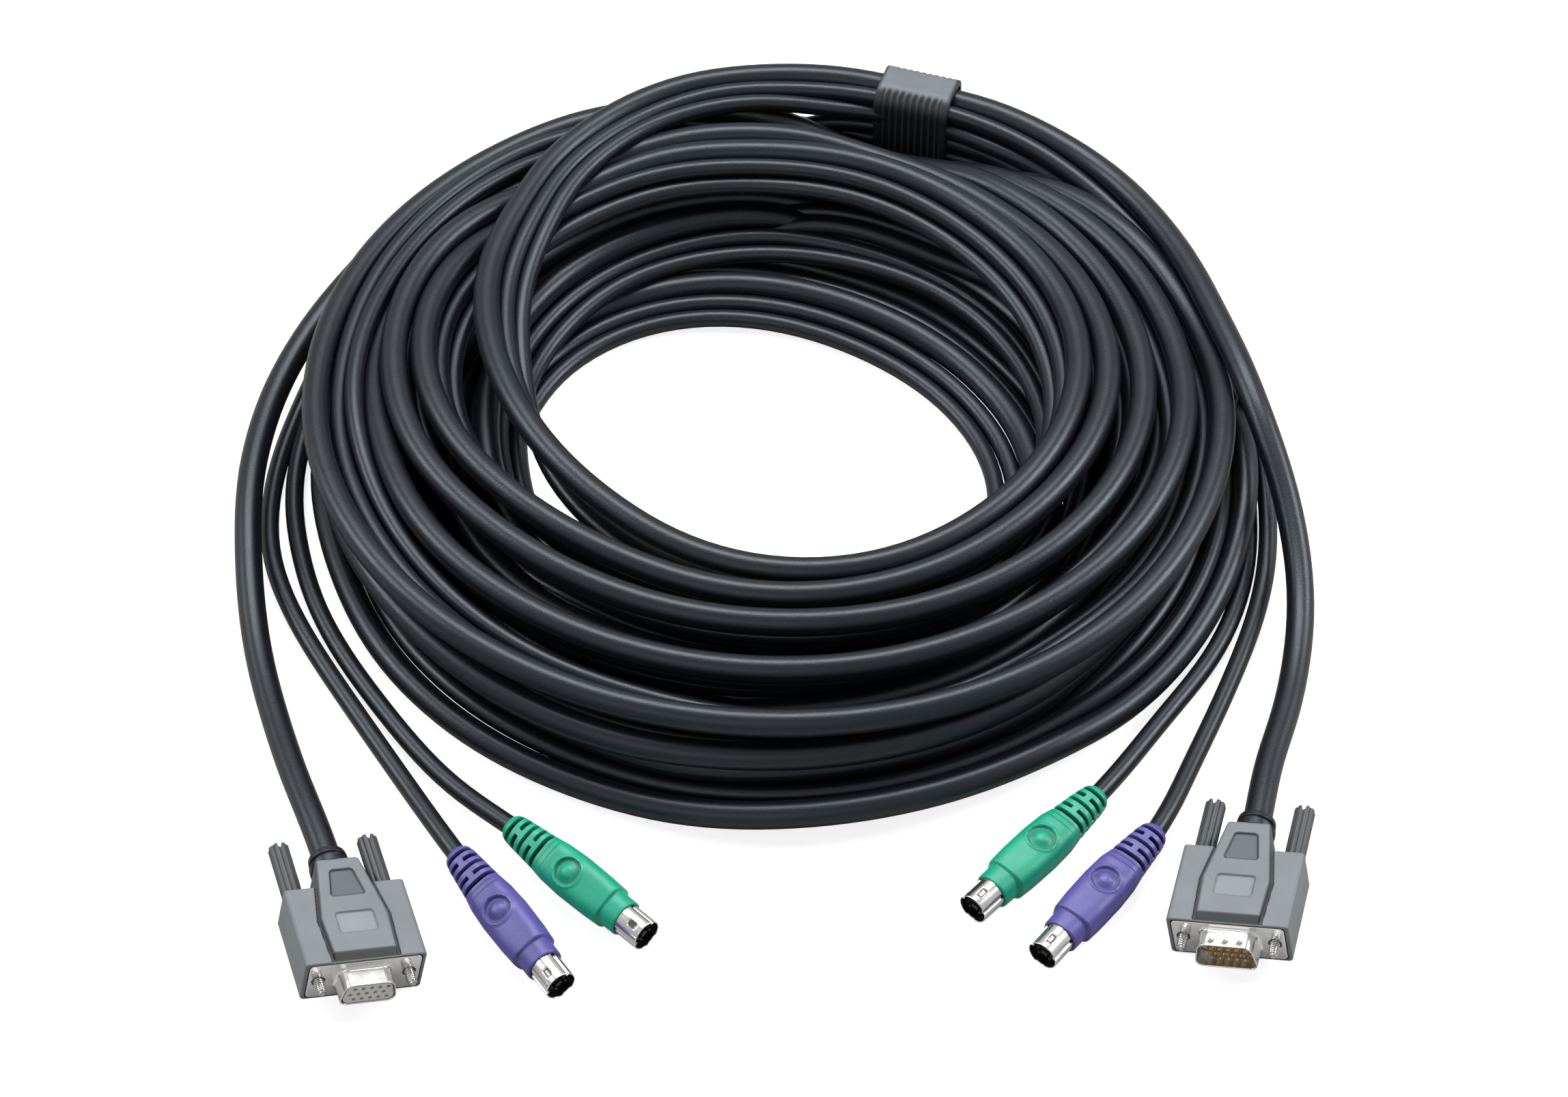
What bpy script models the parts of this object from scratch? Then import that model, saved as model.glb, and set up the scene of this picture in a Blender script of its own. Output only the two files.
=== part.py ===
"""A long switch-to-computer cable, wound in a loose coil and strapped once.

Three cords run side by side: a thick one for the picture and two thin ones for
mouse and keyboard. The left end has a fifteen-way socket and two round plugs,
the right end a fifteen-way plug and two round plugs. Metres, +Z up, floor at 0.
"""
import math

import bmesh
import bpy
from mathutils import Matrix, Vector

# Cords
VIDEO_CORD_RADIUS = 0.004
THIN_CORD_RADIUS = 0.00275
SEAT_GAP = 0.0003
TUBE_STEP_DIAMETERS = 2.4

# Coil
COIL_OUTER_RADIUS = 0.143
COIL_INNER_RADIUS = 0.064
COIL_HOLE_SHIFT = (-0.004, -0.006)
COIL_HEIGHT = 0.038
COIL_FOOT_ROUND = 0.003
COIL_SQUARENESS = 3.0
COIL_STEPS = 60
COIL_ARCH_STEPS = 11

# Strap round the outer cords at the back of the coil
STRAP_ANGLE = math.radians(71.7)
STRAP_WIDTH = 0.024
STRAP_WALL = 0.0018
STRAP_INNER_DEPTH = 0.014
STRAP_INNER_HEIGHT = 0.036
STRAP_OUTSIDE_COIL = 0.0028
STRAP_CORNER = 0.0025
BUNDLE_LEAD = 0.020

# Fifteen-way hood, shared by socket and plug
HOOD_WIDTH = 0.0334
HOOD_HEIGHT = 0.0142
HOOD_WING_LENGTH = 0.0266
HOOD_WING_CORNER = 0.0012
HOOD_EDGE = 0.0005
PANEL_HALF_WIDTH = 0.0093
PANEL_FRONT_HALF_WIDTH = 0.0087
PANEL_RISE = 0.0012
PANEL_FRONT = 0.0029
PANEL_KINK = 0.0148
PANEL_END = 0.0356
PANEL_END_HALF_WIDTH = 0.0058
RECESS_DEPTH = 0.0005
NECK_LENGTH = 0.0070
NECK_RING_RADIUS = 0.0058
NECK_GROOVE = 0.0010

# Flange, D-shaped shell and insert
FLANGE_WIDTH = 0.0308
FLANGE_HEIGHT = 0.0125
FLANGE_CORNER = 0.0012
FLANGE_THICKNESS = 0.0008
FLANGE_PROUD = 0.0001
SHELL_REACH = 0.0060
SHELL_WALL = 0.00045
SOCKET_SHELL_WIDTH = 0.0163
SOCKET_SHELL_HEIGHT = 0.0079
PLUG_SHELL_WIDTH = 0.0178
PLUG_SHELL_HEIGHT = 0.0092
SHELL_CORNER = 0.0025
SHELL_SLOPE = math.radians(10)
INSERT_BACK = 0.0060
SOCKET_INSERT_RECESS = 0.0002
PLUG_INSERT_STAND = 0.0008
CONTACT_PITCH = 0.00229
CONTACT_ROW_PITCH = 0.00198
CONTACTS_PER_ROW = 5
CONTACT_HOLE_RADIUS = 0.0006
CONTACT_HOLE_DEPTH = 0.0050
PIN_RADIUS = 0.00038
PIN_REACH = 0.0052
PIN_POCKET_DEPTH = 0.0030

# Thumbscrews
SCREW_SPACING = 0.02499
SCREW_RADIUS = 0.00142
SCREW_TIP_REACH = 0.0047
SCREW_BORE_RADIUS = 0.0018
SCREW_IN_KNOB = 0.0140
KNOB_RADIUS = 0.0029
KNOB_FLUTE_DEPTH = 0.0004
KNOB_LENGTH = 0.0205
KNOB_FLUTES = 8
KNOB_SLOT_WIDTH = 0.0012
KNOB_SLOT_DEPTH = 0.0016
KNOB_EDGE = 0.0005

# Round six-way plugs
ROUND_SHELL_RADIUS = 0.0045
ROUND_SHELL_WALL = 0.00035
ROUND_SHELL_REACH = 0.0080
ROUND_SHELL_INSIDE = 0.0040
KEYWAY_DEPTH = 0.0006
COLLAR_HALF_WIDTH = 0.0054
COLLAR_LENGTH = 0.0055
BODY_HALF_WIDTH = 0.00665
BODY_HALF_HEIGHT = 0.0054
BODY_LENGTH = 0.0460
BODY_TAIL_HALF_WIDTH = 0.0037
BUTTON_PLACE = 0.0205
BUTTON_RING_RADIUS = 0.0046
BUTTON_DOME_RADIUS = 0.0035
BUTTON_RISE = 0.0005
SLOT_START = 0.0322
SLOT_PITCH = 0.0028
SLOT_COUNT = 5
SLOT_WIDTH = 0.0011
SLOT_DEPTH = 0.0013
SLOT_BRIDGE_HALF = 0.0011
ROUND_PIN_RADIUS = 0.00045
ROUND_PIN_REACH = 0.0068
ROUND_INSERT_RECESS = 0.0020
ROUND_PIN_PAIRS = ((0.00065, 0.00215), (0.00215, 0.0006), (0.0017, -0.0014))
ROUND_KEY_HALF_WIDTH = 0.0009
ROUND_KEY_HALF_HEIGHT = 0.0006

# Where each end lies: x, y of the front face, then turn and lean in degrees
SOCKET_PLACE = (-0.1106, -0.1972, 17.8, 12.5)
PLUG_PLACE = (0.1208, -0.1848, -14.7, -11.0)
MOUSE_LEFT_PLACE = (-0.0414, -0.1750, 45.2, -28.0)
KEYBOARD_LEFT_PLACE = (-0.0627, -0.1909, 33.9, -28.0)
MOUSE_RIGHT_PLACE = (0.0578, -0.1650, -42.1, 6.0)
KEYBOARD_RIGHT_PLACE = (0.0756, -0.1804, -37.9, 6.0)

# Loose stretches of cord, from the coil towards the plug, chosen by hand.
# The last two points of each come from the plug's own neck.
ROUTES = {
    "video_cord_left": (
        (-0.1258, 0.0738, 0.0200), (-0.1408, 0.0500, 0.0170), (-0.1523, 0.0200, 0.0145),
        (-0.1568, -0.0120, 0.0130), (-0.1563, -0.0300, 0.0112), (-0.1540, -0.0540, 0.0080),
        (-0.1495, -0.0790, 0.0055), (-0.1420, -0.1050, 0.0062), (-0.1345, -0.1280, 0.0084),
    ),
    "keyboard_cord_left": (
        (-0.1428, 0.0315, 0.0060), (-0.1494, 0.0080, 0.0035), (-0.1517, -0.0130, 0.0029),
        (-0.1500, -0.0375, 0.0029), (-0.1398, -0.0640, 0.0029), (-0.1255, -0.0895, 0.0029),
        (-0.1095, -0.1163, 0.0030), (-0.0985, -0.1352, 0.0042),
    ),
    "mouse_cord_left": (
        (-0.1451, -0.0180, 0.0029), (-0.1381, -0.0485, 0.0029), (-0.1279, -0.0725, 0.0029),
        (-0.1128, -0.0970, 0.0029), (-0.0983, -0.1178, 0.0030), (-0.0862, -0.1318, 0.0042),
    ),
    "video_cord_right": (
        (0.1391, 0.0010, 0.0330), (0.1431, -0.0110, 0.0280), (0.1478, -0.0270, 0.0212),
        (0.1503, -0.0430, 0.0152), (0.1511, -0.0610, 0.0098), (0.1483, -0.0810, 0.0064),
        (0.1440, -0.0990, 0.0068), (0.1396, -0.1160, 0.0082),
    ),
    "mouse_cord_right": (
        (0.1098, -0.0984, 0.0029), (0.1052, -0.1062, 0.0031), (0.1003, -0.1133, 0.0037),
    ),
    "keyboard_cord_right": (
        (0.1446, -0.0200, 0.0060), (0.1441, -0.0361, 0.0040), (0.1394, -0.0580, 0.0029),
        (0.1312, -0.0810, 0.0029), (0.1213, -0.1050, 0.0029), (0.1133, -0.1230, 0.0038),
    ),
}


def material(name, colour, roughness, metallic=0.0):
    """A plain surface with one colour."""
    made = bpy.data.materials.new(name)
    made.use_nodes = True
    shader = made.node_tree.nodes["Principled BSDF"]
    shader.inputs["Base Color"].default_value = (*colour, 1.0)
    shader.inputs["Roughness"].default_value = roughness
    shader.inputs["Metallic"].default_value = metallic
    return made


def empty(name, parent, location=(0, 0, 0)):
    made = bpy.data.objects.new(name, None)
    bpy.context.scene.collection.objects.link(made)
    made.parent = parent
    made.location = location
    return made


def finished(name, shape, surface, parent):
    """Turns a bmesh into an object with its faces pointing out."""
    bmesh.ops.recalc_face_normals(shape, faces=shape.faces)
    mesh = bpy.data.meshes.new(name)
    shape.to_mesh(mesh)
    shape.free()
    mesh.shade_smooth()
    mesh.set_sharp_from_angle(angle=math.radians(35))
    made = bpy.data.objects.new(name, mesh)
    bpy.context.scene.collection.objects.link(made)
    made.parent = parent
    if surface:
        mesh.materials.append(surface)
    return made


def add_loft(shape, rings, closed=False):
    """Faces between rings of equal count, with flat ends, or joined end to end if closed."""
    rows = [[shape.verts.new(p) for p in ring] for ring in rings]
    pairs = list(zip(rows, rows[1:]))
    if closed:
        pairs.append((rows[-1], rows[0]))
    for low, high in pairs:
        for i in range(len(low)):
            j = (i + 1) % len(low)
            shape.faces.new((low[i], low[j], high[j], high[i]))
    if not closed:
        shape.faces.new(rows[0])
        shape.faces.new(list(reversed(rows[-1])))


def lofted(name, rings, surface, parent, closed=False):
    shape = bmesh.new()
    add_loft(shape, rings, closed)
    return finished(name, shape, surface, parent)


def combine(target, other, operation):
    """Joins or cuts the target with another mesh, which then counts as a helper."""
    other.hide_render = True
    other.display_type = "WIRE"
    modifier = target.modifiers.new(other.name, "BOOLEAN")
    modifier.operation = operation
    modifier.object = other


def rounded_outline(corners, radius, steps=3):
    """A convex outline with each corner turned into an arc; corners run anticlockwise."""
    points = []
    for i, corner in enumerate(corners):
        here = Vector(corner)
        before = (Vector(corners[i - 1]) - here).normalized()
        after = (Vector(corners[(i + 1) % len(corners)]) - here).normalized()
        half = before.angle(after) / 2
        centre = here + (before + after).normalized() * radius / math.sin(half)
        start = here + before * radius / math.tan(half) - centre
        sweep = math.pi - 2 * half
        for k in range(steps + 1):
            turn = Matrix.Rotation(sweep * k / steps, 2)
            points.append(centre + turn @ start)
    return points


def box_corners(half_width, half_height):
    return (
        (-half_width, -half_height),
        (half_width, -half_height),
        (half_width, half_height),
        (-half_width, half_height),
    )


def rounded_box(half_width, half_height, radius, steps=3):
    return rounded_outline(box_corners(half_width, half_height), radius, steps)


def d_outline(width, height, corner, grow=0.0):
    """The D shape of a shell: the long side is below, and the sides slope."""
    lean = height / 2 * math.tan(SHELL_SLOPE)
    half, tall = width / 2 + grow, height / 2 + grow
    corners = (
        (-half, -tall),
        (half, -tall),
        (half - 2 * lean, tall),
        (-half + 2 * lean, tall),
    )
    return rounded_outline(corners, corner + grow, 4)


def circle(radius, count, turn=0.0):
    steps = [2 * math.pi * i / count + turn for i in range(count)]
    return [Vector((radius * math.cos(a), radius * math.sin(a))) for a in steps]


def superellipse(half_width, half_height, squareness, count):
    """A rounded box or oval: squareness 2 is an ellipse, and more is squarer."""
    points = []
    for i in range(count):
        angle = 2 * math.pi * (i + 0.5) / count
        c, s = math.cos(angle), math.sin(angle)
        x = half_width * math.copysign(abs(c) ** (2 / squareness), c)
        z = half_height * math.copysign(abs(s) ** (2 / squareness), s)
        points.append(Vector((x, z)))
    return points


def at_depth(outline, depth, centre=(0, 0)):
    """An outline in X and Z, set at a depth along Y."""
    return [Vector((p[0] + centre[0], depth, p[1] + centre[1])) for p in outline]


def prism(name, outline, front, back, surface, parent, centre=(0, 0)):
    rings = [at_depth(outline, front, centre), at_depth(outline, back, centre)]
    return lofted(name, rings, surface, parent)


def turned(name, profile, count, surface, parent):
    """A solid of revolution about Y, from pairs of depth and radius."""
    rings = [at_depth(circle(radius, count), depth) for depth, radius in profile]
    return lofted(name, rings, surface, parent)


def smooth_route(points, step):
    """Points at about equal steps along a smooth curve, then the last point as it is."""
    ends = [2 * points[0] - points[1], *points]
    fine = []
    for a, b, c, d in zip(ends, ends[1:], ends[2:], ends[3:]):
        for k in range(16):
            t = k / 16
            fine.append(
                0.5 * (2 * b + (c - a) * t + (2 * a - 5 * b + 4 * c - d) * t**2
                       + (3 * b - a - 3 * c + d) * t**3)
            )
    fine.append(points[-2])
    along = [0.0]
    for p, q in zip(fine, fine[1:]):
        along.append(along[-1] + (q - p).length)
    count = max(4, round(along[-1] / step))
    spaced = []
    place = 0
    for k in range(count + 1):
        target = along[-1] * k / count
        while place < len(along) - 2 and along[place + 1] < target:
            place += 1
        share = (target - along[place]) / (along[place + 1] - along[place])
        spaced.append(fine[place].lerp(fine[place + 1], share))
    return [*spaced, points[-1]]


def loose_cord(name, radius, plug, neck, surface, parent):
    """A tube from the coil to the neck of its plug, which it meets square."""
    neck_end = plug.matrix_world @ Vector((0, neck + SEAT_GAP, 0))
    straight = plug.matrix_world @ Vector((0, neck + SEAT_GAP + 2 * radius, 0))
    points = [Vector(p) for p in ROUTES[name]] + [straight, neck_end]
    curve = bpy.data.curves.new(name, "CURVE")
    curve.dimensions = "3D"
    curve.bevel_depth = radius
    curve.bevel_resolution = 2
    curve.use_fill_caps = True
    route = smooth_route(points, TUBE_STEP_DIAMETERS * 2 * radius)
    spline = curve.splines.new("POLY")
    spline.points.add(len(route) - 1)
    for point, place in zip(spline.points, route):
        point.co = (*place, 1.0)
    made = bpy.data.objects.new(name, curve)
    bpy.context.scene.collection.objects.link(made)
    made.parent = parent
    curve.materials.append(surface)
    return made


def set_down(frame, outlines, place):
    """Turns and leans an end piece, and lets its lowest point rest on the floor."""
    x, y, turn, lean = place
    turning = Matrix.Rotation(math.radians(turn), 3, "Z")
    turning = turning @ Matrix.Rotation(math.radians(lean), 3, "Y")
    lowest = min((turning @ p).z for ring in outlines for p in ring)
    frame.rotation_euler = turning.to_euler()
    frame.location = (x, y, -lowest)
    bpy.context.view_layer.update()


def coil_section(inner):
    """Outline of the coil's heap of cords: a squarish arch on a flat foot."""
    middle = (COIL_OUTER_RADIUS + inner) / 2
    half = (COIL_OUTER_RADIUS - inner) / 2
    power = 2 / COIL_SQUARENESS
    points = [(middle + half - COIL_FOOT_ROUND, 0.0)]
    for k in range(COIL_ARCH_STEPS + 1):
        angle = math.pi * k / COIL_ARCH_STEPS
        c, s = math.cos(angle), max(0.0, math.sin(angle))
        across = middle + half * math.copysign(abs(c) ** power, c)
        up = COIL_FOOT_ROUND + (COIL_HEIGHT - COIL_FOOT_ROUND) * s**power
        points.append((across, up))
    points.append((middle - half + COIL_FOOT_ROUND, 0.0))
    return points


def strap_ring(outline, along):
    """An outline in radius and height, set across the coil at a distance along it."""
    out = Vector((math.cos(STRAP_ANGLE), math.sin(STRAP_ANGLE), 0))
    side = Vector((-math.sin(STRAP_ANGLE), math.cos(STRAP_ANGLE), 0))
    return [out * p[0] + side * along + Vector((0, 0, p[1])) for p in outline]


def strap_outline(grow):
    """The strap's inner outline, grown by a distance all round."""
    low = STRAP_WALL - grow
    high = STRAP_WALL + STRAP_INNER_HEIGHT + grow
    far = COIL_OUTER_RADIUS + STRAP_OUTSIDE_COIL + grow
    near = COIL_OUTER_RADIUS + STRAP_OUTSIDE_COIL - STRAP_INNER_DEPTH - grow
    corners = ((near, low), (far, low), (far, high), (near, high))
    return rounded_outline(corners, max(STRAP_CORNER + grow, SEAT_GAP), 3)


def make_coil(surface, parent):
    rings = []
    for i in range(COIL_STEPS):
        angle = 2 * math.pi * i / COIL_STEPS
        out = Vector((math.cos(angle), math.sin(angle)))
        section = coil_section(COIL_INNER_RADIUS + out.dot(Vector(COIL_HOLE_SHIFT)))
        rings.append([Vector((*(out * r), z)) for r, z in section])
    coil = lofted("cable_coil", rings, surface, parent, closed=True)
    half = STRAP_WIDTH / 2
    inside = strap_outline(-SEAT_GAP)
    within = Vector((COIL_OUTER_RADIUS - STRAP_INNER_DEPTH, 0.4 * COIL_HEIGHT))
    tucked = [within.lerp(p, 0.4) for p in inside]
    gathered = lofted(
        "gathered_cords",
        [
            strap_ring(tucked, -half - BUNDLE_LEAD),
            strap_ring(inside, -half - SEAT_GAP),
            strap_ring(inside, half + SEAT_GAP),
            strap_ring(tucked, half + BUNDLE_LEAD),
        ],
        None,
        parent,
    )
    combine(coil, gathered, "UNION")
    room = lofted(
        "strap_room",
        [
            strap_ring(strap_outline(STRAP_WALL + SEAT_GAP), -half - SEAT_GAP),
            strap_ring(strap_outline(STRAP_WALL + SEAT_GAP), half + SEAT_GAP),
            strap_ring(strap_outline(-SEAT_GAP), half + SEAT_GAP),
            strap_ring(strap_outline(-SEAT_GAP), -half - SEAT_GAP),
        ],
        None,
        parent,
        closed=True,
    )
    combine(coil, room, "DIFFERENCE")


def make_strap(surface, parent):
    half = STRAP_WIDTH / 2
    lofted(
        "coil_strap",
        [
            strap_ring(strap_outline(STRAP_WALL), -half),
            strap_ring(strap_outline(STRAP_WALL), half),
            strap_ring(strap_outline(0), half),
            strap_ring(strap_outline(0), -half),
        ],
        surface,
        parent,
        closed=True,
    )


def panel_rings():
    """The raised middle of the hood, seen from above: straight, then tapering to the neck."""
    tall = HOOD_HEIGHT / 2 + PANEL_RISE
    low = HOOD_HEIGHT / 2 - HOOD_EDGE
    stations = (
        (HOOD_EDGE, PANEL_FRONT_HALF_WIDTH, low),
        (PANEL_FRONT, PANEL_FRONT_HALF_WIDTH, tall),
        (PANEL_KINK, PANEL_HALF_WIDTH, tall),
        (PANEL_END - PANEL_RISE, PANEL_END_HALF_WIDTH + PANEL_RISE / 5, tall),
        (PANEL_END, PANEL_END_HALF_WIDTH, tall - PANEL_RISE),
        (PANEL_END + PANEL_RISE, PANEL_END_HALF_WIDTH - PANEL_RISE, low - PANEL_RISE),
    )
    return [at_depth(rounded_box(w, h, 1.4 * HOOD_EDGE, 2), y) for y, w, h in stations]


def wing_rings():
    stations = (
        (0.0, HOOD_EDGE),
        (HOOD_EDGE, 0.0),
        (HOOD_WING_LENGTH - HOOD_EDGE, 0.0),
        (HOOD_WING_LENGTH, HOOD_EDGE),
    )
    return [
        at_depth(rounded_box(HOOD_WIDTH / 2 - e, HOOD_HEIGHT / 2 - e, HOOD_WING_CORNER - e), y)
        for y, e in stations
    ]


def neck_profile():
    """Two soft rings round the cord, from inside the hood to the cord's end."""
    ring, groove = NECK_RING_RADIUS, NECK_RING_RADIUS - NECK_GROOVE
    end = PANEL_END + NECK_LENGTH
    share = NECK_LENGTH / 6
    return (
        (PANEL_END - NECK_LENGTH, groove),
        (PANEL_END + share, groove),
        (PANEL_END + 1.3 * share, ring),
        (PANEL_END + 3 * share, ring),
        (PANEL_END + 3.3 * share, groove),
        (PANEL_END + 3.9 * share, groove),
        (PANEL_END + 4.2 * share, ring - NECK_GROOVE / 2),
        (end - 0.4 * share, ring - NECK_GROOVE / 2),
        (end, groove),
    )


def make_hood(name, surface, frame):
    hood = lofted(name, wing_rings(), surface, frame)
    combine(hood, lofted(name + "_panel", panel_rings(), None, frame), "UNION")
    combine(hood, turned(name + "_neck", neck_profile(), 20, None, frame), "UNION")
    room = FLANGE_THICKNESS + SEAT_GAP - FLANGE_PROUD
    grown = rounded_box(
        FLANGE_WIDTH / 2 + SEAT_GAP, FLANGE_HEIGHT / 2 + SEAT_GAP, FLANGE_CORNER + SEAT_GAP
    )
    combine(hood, prism(name + "_seat", grown, -HOOD_EDGE, room, None, frame), "DIFFERENCE")
    pocket = d_outline(PLUG_SHELL_WIDTH, PLUG_SHELL_HEIGHT, SHELL_CORNER)
    deep = INSERT_BACK + SEAT_GAP
    combine(hood, prism(name + "_pocket", pocket, -HOOD_EDGE, deep, None, frame), "DIFFERENCE")
    for side in (-1, 1):
        centre = (side * SCREW_SPACING / 2, 0)
        bore = prism(
            f"{name}_bore_{side}", circle(SCREW_BORE_RADIUS, 12), -HOOD_EDGE,
            HOOD_WING_LENGTH + HOOD_EDGE, None, frame, centre,
        )
        combine(hood, bore, "DIFFERENCE")
    top = HOOD_HEIGHT / 2 + PANEL_RISE
    shape = bmesh.new()
    for corners in (grip_corners(), label_corners()):
        outline = rounded_outline(corners, 2 * HOOD_EDGE, 2)
        rings = [[Vector((p[0], p[1], z)) for p in outline]
                 for z in (top - RECESS_DEPTH, top + RECESS_DEPTH)]
        add_loft(shape, rings)
    combine(hood, finished(name + "_recesses", shape, None, frame), "DIFFERENCE")


def grip_corners():
    """The tapered finger recess on the narrow half of the panel."""
    front, back = PANEL_KINK + 0.0070, PANEL_END - 0.0046
    near, far = 0.52 * PANEL_HALF_WIDTH, 0.55 * PANEL_END_HALF_WIDTH
    return ((-near, front), (near, front), (far, back), (-far, back))


def label_corners():
    """The plain four-sided recess on the wide half of the panel."""
    front, back = PANEL_KINK - 0.0058, PANEL_KINK + 0.0012
    half = 0.56 * PANEL_HALF_WIDTH
    return ((-half, front), (half, front), (half, back), (-half, back))


def make_shell(name, width, height, surface, frame):
    """Flange plate and the D-shaped shell standing on it, pierced right through."""
    face = -FLANGE_PROUD
    back = face + FLANGE_THICKNESS
    plate = rounded_box(FLANGE_WIDTH / 2, FLANGE_HEIGHT / 2, FLANGE_CORNER)
    shell = prism(name, plate, face, back, surface, frame)
    outer = d_outline(width, height, SHELL_CORNER)
    tube = prism(name + "_tube", outer, -SHELL_REACH, back - SEAT_GAP, None, frame)
    combine(shell, tube, "UNION")
    inner = d_outline(width, height, SHELL_CORNER, -SHELL_WALL)
    hollow = prism(name + "_hollow", inner, -2 * SHELL_REACH, SHELL_REACH, None, frame)
    combine(shell, hollow, "DIFFERENCE")
    for side in (-1, 1):
        hole = prism(
            f"{name}_hole_{side}", circle(SCREW_BORE_RADIUS, 12), -SHELL_REACH,
            SHELL_REACH, None, frame, (side * SCREW_SPACING / 2, 0),
        )
        combine(shell, hole, "DIFFERENCE")


def contact_places():
    """Three rows of contacts, the middle one shifted by half a step."""
    places = []
    for row in (1, 0, -1):
        shift = CONTACT_PITCH / 4 * (-1 if row == 0 else 1)
        for column in range(CONTACTS_PER_ROW):
            across = (column - (CONTACTS_PER_ROW - 1) / 2) * CONTACT_PITCH + shift
            places.append((across, row * CONTACT_ROW_PITCH))
    return places


def make_socket_insert(name, surface, frame):
    outline = d_outline(
        SOCKET_SHELL_WIDTH, SOCKET_SHELL_HEIGHT, SHELL_CORNER, -SHELL_WALL - SEAT_GAP
    )
    face = -SHELL_REACH + SOCKET_INSERT_RECESS
    insert = prism(name, outline, face, INSERT_BACK, surface, frame)
    shape = bmesh.new()
    for place in contact_places():
        hole = circle(CONTACT_HOLE_RADIUS, 8)
        rings = [at_depth(hole, y, place) for y in (face - SHELL_WALL, face + CONTACT_HOLE_DEPTH)]
        add_loft(shape, rings)
    combine(insert, finished(name + "_holes", shape, None, frame), "DIFFERENCE")


def make_plug_insert(name, surface, pin_surface, frame):
    outline = d_outline(
        PLUG_SHELL_WIDTH, PLUG_SHELL_HEIGHT, SHELL_CORNER, -SHELL_WALL - SEAT_GAP
    )
    face = -PLUG_INSERT_STAND
    insert = prism(name, outline, face, INSERT_BACK, surface, frame)
    shape = bmesh.new()
    for place in contact_places():
        pocket = circle(PIN_RADIUS + SEAT_GAP, 8)
        rings = [at_depth(pocket, y, place) for y in (face - SHELL_WALL, face + PIN_POCKET_DEPTH)]
        add_loft(shape, rings)
    combine(insert, finished(name + "_pockets", shape, None, frame), "DIFFERENCE")
    for number, place in enumerate(contact_places(), 1):
        profile = (
            (-PIN_REACH, PIN_RADIUS / 2),
            (-PIN_REACH + PIN_RADIUS, PIN_RADIUS),
            (face + PIN_POCKET_DEPTH - SEAT_GAP, PIN_RADIUS),
        )
        rings = [at_depth(circle(radius, 8), y, place) for y, radius in profile]
        lofted(f"video_plug_pin_{number:02d}", rings, pin_surface, frame)


def make_thumbscrew(name, metal, plastic, frame, side):
    """A captive screw with its moulded knob, both turning on the screw's own axis."""
    axis = empty(name + "_axis", frame, (side * SCREW_SPACING / 2, 0, 0))
    knob_front = HOOD_WING_LENGTH + SEAT_GAP
    screw_end = knob_front + SCREW_IN_KNOB
    profile = (
        (-SCREW_TIP_REACH, SCREW_RADIUS / 2),
        (-SCREW_TIP_REACH + SCREW_RADIUS / 2, SCREW_RADIUS),
        (screw_end, SCREW_RADIUS),
    )
    turned(name.replace("thumb", "screw"), profile, 12, metal, axis)
    count = 3 * KNOB_FLUTES

    def fluted(inset):
        points = []
        for i in range(count):
            angle = 2 * math.pi * i / count
            radius = KNOB_RADIUS - inset - KNOB_FLUTE_DEPTH * (i % 3 == 0)
            points.append(Vector((radius * math.cos(angle), radius * math.sin(angle))))
        return points

    end = knob_front + KNOB_LENGTH
    stations = (
        (knob_front, KNOB_EDGE),
        (knob_front + KNOB_EDGE, 0.0),
        (end - KNOB_EDGE, 0.0),
        (end, KNOB_EDGE),
    )
    knob = lofted(
        name.replace("thumb", "knob"), [at_depth(fluted(e), y) for y, e in stations],
        plastic, axis,
    )
    blind = prism(
        name + "_blind_bore", circle(SCREW_RADIUS + SEAT_GAP, 12), knob_front - KNOB_EDGE,
        screw_end + SEAT_GAP, None, axis,
    )
    combine(knob, blind, "DIFFERENCE")
    slot = prism(
        name + "_slot", box_corners(KNOB_SLOT_WIDTH / 2, 2 * KNOB_RADIUS),
        end - KNOB_SLOT_DEPTH, end + KNOB_EDGE, None, axis,
    )
    combine(knob, slot, "DIFFERENCE")


def overmould_rings():
    """The round plug's grip, from its nose collar to the cord."""
    collar, wide, tail = COLLAR_HALF_WIDTH, BODY_HALF_WIDTH, BODY_TAIL_HALF_WIDTH
    tall = BODY_HALF_HEIGHT
    slots_end = SLOT_START + SLOT_PITCH * (SLOT_COUNT - 1)
    stations = (
        (0.0, collar - HOOD_EDGE, collar - HOOD_EDGE, 2.2),
        (HOOD_EDGE, collar, collar - SEAT_GAP, 2.2),
        (COLLAR_LENGTH, collar, collar - SEAT_GAP, 2.2),
        (COLLAR_LENGTH + HOOD_EDGE, (collar + 2 * wide) / 3, tall - SEAT_GAP, 3.0),
        (BUTTON_PLACE - 2 * BUTTON_RING_RADIUS, 0.97 * wide, tall, 3.2),
        (BUTTON_PLACE, wide, tall, 3.2),
        (BUTTON_PLACE + 1.5 * BUTTON_RING_RADIUS, 0.94 * wide, tall, 3.2),
        (SLOT_START, 0.55 * wide + 0.45 * tail, 0.6 * tall + 0.4 * tail, 2.8),
        (slots_end, 0.15 * wide + 0.85 * tail, 0.15 * tall + 0.85 * tail, 2.4),
        (BODY_LENGTH - HOOD_EDGE, tail, tail, 2.1),
        (BODY_LENGTH, tail - HOOD_EDGE, tail - HOOD_EDGE, 2.0),
    )
    return [at_depth(superellipse(w, h, n, 16), y) for y, w, h, n in stations]


def add_box(shape, low, high):
    across = ((low[0], low[2]), (high[0], low[2]), (high[0], high[2]), (low[0], high[2]))
    add_loft(shape, [at_depth(across, low[1]), at_depth(across, high[1])])


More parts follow.
